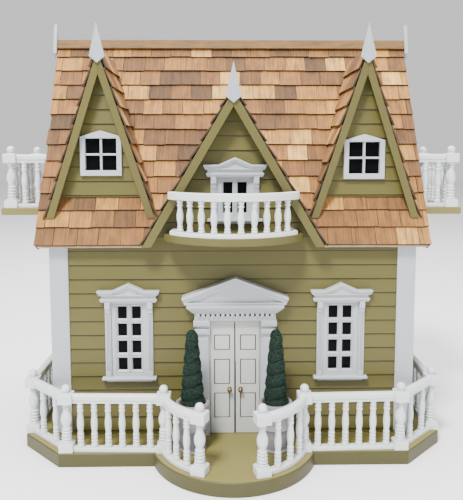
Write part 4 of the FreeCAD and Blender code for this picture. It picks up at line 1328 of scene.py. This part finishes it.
def rail_pair(shape, path, z):
    """Bottom and top rail along a path over a floor at z."""
    for profile, height in ((FLAT_RAIL, 0.0), (TOP_RAIL, RAIL_Z)):
        sweep(shape, path, raised(profile, z + height), plan, tone=rng.random())


def straight_rails(shape, a, b, z, tuck=8.0):
    """Rails between two posts, tucked a little into each."""
    length = math.hypot(b[0] - a[0], b[1] - a[1])
    ux, uy = (b[0] - a[0]) / length, (b[1] - a[1]) / length
    rail_pair(shape, [(a[0] + ux * tuck, a[1] + uy * tuck), (b[0] - ux * tuck, b[1] - uy * tuck)], z)


def on_arc(cy, r, deg):
    return (r * math.sin(math.radians(deg)), cy - r * math.cos(math.radians(deg)))


def porch():
    rails, sticks, posts = Shape("x"), Shape("z"), Shape("z")
    corner, chamfer, rear = (243.4, FACE_Y - 47.0), (310.0, FACE_Y + 18.0), (310.0, FACE_Y + 321.0)
    radius, outer_deg = 106.4, 72.9
    outer = on_arc(BULGE_Y, radius, outer_deg)
    for side, inner in ((-1, 26.6), (1, 20.0)):
        for start, end, count in ((corner, outer, 6), (corner, chamfer, 2), (chamfer, rear, 14)):
            a, b = (side * start[0], start[1]), (side * end[0], end[1])
            straight_rails(rails, a, b, DECK_Z)
            for x, y in between(a, b, count):
                porch_baluster(sticks, x, y, DECK_Z)
        path = arc_points(0.0, BULGE_Y, radius, side * (inner + 4.2), side * (outer_deg - 4.2), 18)
        rail_pair(rails, path, DECK_Z)
        step = (outer_deg - inner) / 4.0
        for k in (1, 2, 3):
            x, y = on_arc(BULGE_Y, radius, side * (inner + step * k))
            porch_baluster(sticks, x, y, DECK_Z)
        for x, y in (corner, chamfer, rear, outer):
            newel(posts, side * x, y, DECK_Z)
        x, y = on_arc(BULGE_Y, radius, side * inner)
        newel(posts, x, y, DECK_Z, side * inner * 0.75)
    for name, shape, node in (("porch_handrails", rails, "porch_rails"),
                              ("porch_spindles", sticks, "porch_balusters"),
                              ("porch_posts", posts, "porch_newels")):
        make_piece(name, shape, "white", "white_paint", node)


def front_balcony():
    floor = Extent("front_balcony_floor")
    centre, radius = FACE_Y + 40.0, 117.0
    reach = math.degrees(math.asin(floor.x1 / radius))
    outline = [(floor.x0, WALL_Y)] + arc_points(0.0, centre, radius, -reach, reach, 40) + [(floor.x1, WALL_Y)]
    shape = Shape("x")
    edge = [(1.6, floor.z0), (0.5, floor.z0 + 0.6), (0.0, floor.z0 + 1.8), (0.0, floor.z1 - 1.2),
            (0.4, floor.z1 - 0.3), (1.2, floor.z1)]
    slab(shape, outline, edge)
    make_piece("front_balcony_board", shape, "rake rake", "deck_paint", "front_balcony_floor")

    shape = Shape("x")
    z = floor.z1
    half = BALCONY_R * math.sin(math.radians(55.0)) - 5.5
    arc = arc_points(0.0, centre, BALCONY_R, -52.0, 52.0, 32)
    path = [(-half, WALL_Y - 3.8)] + arc + [(half, WALL_Y - 3.8)]
    sweep(shape, path, raised(FLAT_RAIL, z), plan)
    path = arc_points(0.0, centre, BALCONY_R, -55.3, 55.3, 36)
    sweep(shape, path, raised(BALCONY_RAIL, z + 51.0), plan)
    make_piece("front_balcony_handrail", shape, "white", "white_paint", "front_balcony_rails")

    shape = Shape("z")
    for k in range(10):
        x, y = on_arc(centre, BALCONY_R, -44.0 + 88.0 * k / 9.0)
        balcony_baluster(shape, x, y, z)
    make_piece("front_balcony_spindles", shape, "white", "white_paint", "front_balcony_balusters")


def side_balcony(name, side):
    floor = Extent(name + "_balcony_floor")
    shape = Shape("y")
    round_box(shape, floor.x0, floor.x1, floor.y0, floor.y1, floor.z0, floor.z1, 1.2, None, 0.5, 0, 3)
    make_piece(name + "_balcony_board", shape, "deck", "deck_paint", name + "_balcony_floor")

    shape = Shape("z")
    z = floor.z1
    x, wall = side * 355.0, side * 274.0
    near, far = floor.y0 + 11.0, floor.y1 - 11.0
    for y in (near, far):
        newel(shape, x, y, z)
        rail_pair(shape, [(wall - side * 1.5, y), (x - side * 8.0, y)], z)
        for px, py in between((side * 271.0, y), (x, y), 3):
            porch_baluster(shape, px, py, z)
    straight_rails(shape, (x, near), (x, far), z)
    for px, py in between((x, near), (x, far), 6):
        porch_baluster(shape, px, py, z)
    make_piece(name + "_balcony_joinery", shape, "white", "white_paint", name + "_balcony_railing")


# ---- pieces: planters ----

def planter(name):
    box = Extent(name + "_planter")
    x, y, z = box.x, box.y, box.z0
    shape = Shape("z")
    profile = [(19.0, 0.0), (19.8, 0.5), (20.0, 1.2), (20.0, 2.8), (19.4, 3.6), (18.6, 4.2), (18.3, 5.4),
               (18.6, 7.0), (19.1, 12.0), (20.2, 26.0), (20.7, 33.0), (21.4, 33.6), (21.5, 35.4),
               (20.9, 36.0), (21.6, 46.0), (22.2, 56.0), (22.4, 62.4), (22.9, 63.4), (24.2, 64.2),
               (24.7, 65.2), (24.8, 66.8), (24.8, 69.8), (24.5, 71.0), (23.8, 71.7), (22.8, 71.9),
               (20.6, 71.9), (20.0, 71.6), (19.8, 70.6), (19.8, 69.6)]
    lathe(shape, profile, x, y, z, 48)
    lathe(shape, [(19.9, 69.4), (19.6, 70.2), (17.0, 70.9), (9.0, 71.3), (2.0, 71.5)], x, y, z, 40,
          0.5, 1)
    make_piece(name + "_pot", shape, "planter soil", "planter_resin", name + "_planter")


LEAVES = 4200


def topiary(name):
    """Spiral-clipped cone: bulging turns separated by an undercut, covered in small leaves."""
    box = Extent(name + "_topiary")
    x, y = box.x, box.y
    low, high = box.z0 - 6.0, box.z1 - 0.8
    shape = Shape("z")
    turns, limit = 6.2, box.x1 - box.x - 0.4

    def radius(v, angle):
        phase = (v * turns - angle / (2.0 * math.pi)) % 1.0
        swell = 0.84 + 0.16 * math.sin(math.pi * phase ** 0.75) ** 0.7
        taper = 1.0 - 0.58 * v ** 1.15
        tip = math.sqrt(max(0.0, 1.0 - max(0.0, (v - 0.90) / 0.10) ** 2))
        return max(limit * taper * swell * tip, 0.4)

    rows, sides = 150, 44
    verts = []
    for i in range(rows + 1):
        v = i / rows
        for k in range(sides):
            angle = 2.0 * math.pi * k / sides
            px, py, pz = math.cos(angle), math.sin(angle), low + v * (high - low)
            rough = noise.noise(Vector((px * 5.0, py * 5.0, pz * 0.45 + 31.0))) * 0.03
            r = radius(v, angle) * (0.94 + rough)
            verts.append((x + r * px, y + r * py, pz))
    shape.add(verts, bands(rows + 1, sides) + caps(rows + 1, sides), 0.25, 0, True)
    for _ in range(LEAVES):
        v = rng.uniform(0.05, 0.985) ** 1.15
        angle = rng.uniform(0.0, 2.0 * math.pi)
        leaf(shape, x, y, low + v * (high - low), angle, min(radius(v, angle) * 0.95, limit - 0.8))
    make_piece(name + "_foliage", shape, "foliage", "topiary_foliage", name + "_topiary")


def leaf(shape, x, y, z, angle, r):
    """Narrow six-sided leaf lying on the surface, swept along the spiral."""
    length, width, thick = rng.uniform(2.4, 4.2), rng.uniform(0.7, 1.1), rng.uniform(0.45, 0.8)
    lean = rng.uniform(-0.35, 0.85)
    out = Vector((math.cos(angle), math.sin(angle), 0.0))
    round_way = Vector((-math.sin(angle), math.cos(angle), 0.0))
    along = round_way * math.cos(lean) + Vector((0.0, 0.0, math.sin(lean))) + out * rng.uniform(-0.12, 0.12)
    across = out.cross(along)
    middle = Vector((x, y, z)) + out * r
    points = [middle - along * length * 0.5 - out * 0.35, middle + across * width * 0.5,
              middle + along * length * 0.5 - out * 0.25, middle - across * width * 0.5,
              middle + out * thick, middle - out * thick]
    faces = [[0, 1, 4], [1, 2, 4], [2, 3, 4], [3, 0, 4], [1, 0, 5], [2, 1, 5], [3, 2, 5], [0, 3, 5]]
    shape.add([tuple(p) for p in points], faces, rng.random(), 0, False)


# ---- building everything ----

base_deck()
front_siding()
corner_boards()
main_shingles()
gable_shingles("centre_gable", 0.0, GABLE_APEX, GABLE_SLOPE, GABLE_LOW, GABLE_FRONT_Y)
ridge_cap()
side_rakes()
gable_rakes()
finials()
windows()
door_surround()
pediment()
porch()
front_balcony()
for side_name, side_sign in (("left", -1), ("right", 1)):
    side_siding(side_name, side_sign)
    gable_shingles(side_name + "_dormer", side_sign * DORMER_X, DORMER_APEX, DORMER_SLOPE, DORMER_LOW,
                   DORMER_FRONT_Y)
    dormer_siding(side_name, side_sign)
    door_leaf(side_name, side_sign)
    side_balcony(side_name, side_sign)
    planter(side_name)
    topiary(side_name)


# ---- looks of the CAD nodes that are shown as they are ----

CAD_LOOKS = {
    "room": ("front_wall", "left_gable_wall", "right_gable_wall", "partition_walls"),
    "floor": ("upper_floor",),
    "stair": ("staircase",),
    "ply": ("front_roof_panel", "rear_roof_panel"),
    "soffit": ("left_dormer_roof", "right_dormer_roof", "centre_gable_roof"),
    "window_pane": ("window_panes",),
    "brass": ("left_door_pins", "right_door_pins"),
}
for look, names in CAD_LOOKS.items():
    for node_name in names:
        mesh_data = bpy.data.objects[node_name].data
        mesh_data.materials.clear()
        mesh_data.materials.append(LOOK[look])


# ---- floor, light and camera ----

def studio_floor():
    n = Nodes("studio_floor")
    place = n.node("ShaderNodeTexCoord").outputs["Object"]
    clouds = n.noise(place, 1.5, 3.0)
    n.surface((0.86, 0.86, 0.87), n.around(1.0, (clouds, 0.015)), 0.9)
    mesh = bpy.data.meshes.new("studio_floor")
    size = 9.0
    mesh.from_pydata([(-size, -size, 0.0), (size, -size, 0.0), (size, size, 0.0), (-size, size, 0.0)], [],
                     [(0, 1, 2, 3)])
    mesh.materials.append(n.material)
    floor = into_scene("studio_floor", mesh)


def area_light(name, place, target, size, power, colour=(1.0, 1.0, 1.0)):
    data = bpy.data.lights.new(name, "AREA")
    data.shape = "DISK"
    data.size = size
    data.energy = power
    data.color = colour
    light = into_scene(name, data)
    light.location = place
    light.rotation_euler = (Vector(target) - Vector(place)).to_track_quat("-Z", "Y").to_euler()


def studio():
    studio_floor()
    world = bpy.data.worlds.new("studio_world")
    bpy.context.scene.world = world
    world.use_nodes = True
    background = world.node_tree.nodes["Background"]
    background.inputs["Color"].default_value = (1.0, 1.0, 1.0, 1.0)
    background.inputs["Strength"].default_value = 0.85
    middle = (0.0, 0.0, 0.3)
    area_light("key", (-0.8, -1.9, 3.2), middle, 0.8, 290.0, (1.0, 0.985, 0.96))
    area_light("fill", (2.2, -1.8, 1.6), middle, 2.0, 20.0, (0.95, 0.975, 1.0))
    area_light("top", (0.0, 0.4, 3.0), middle, 2.4, 150.0)


def camera():
    data = bpy.data.cameras.new("camera")
    data.lens = 43.8
    data.sensor_width = 36.0
    data.shift_y = -0.0734
    cam = into_scene("camera", data)
    cam.location = (-0.01707, -0.995, 0.45064)
    cam.rotation_euler = (math.pi / 2.0 - 0.098, 0.001, -0.016)
    bpy.context.scene.camera = cam


studio()
camera()
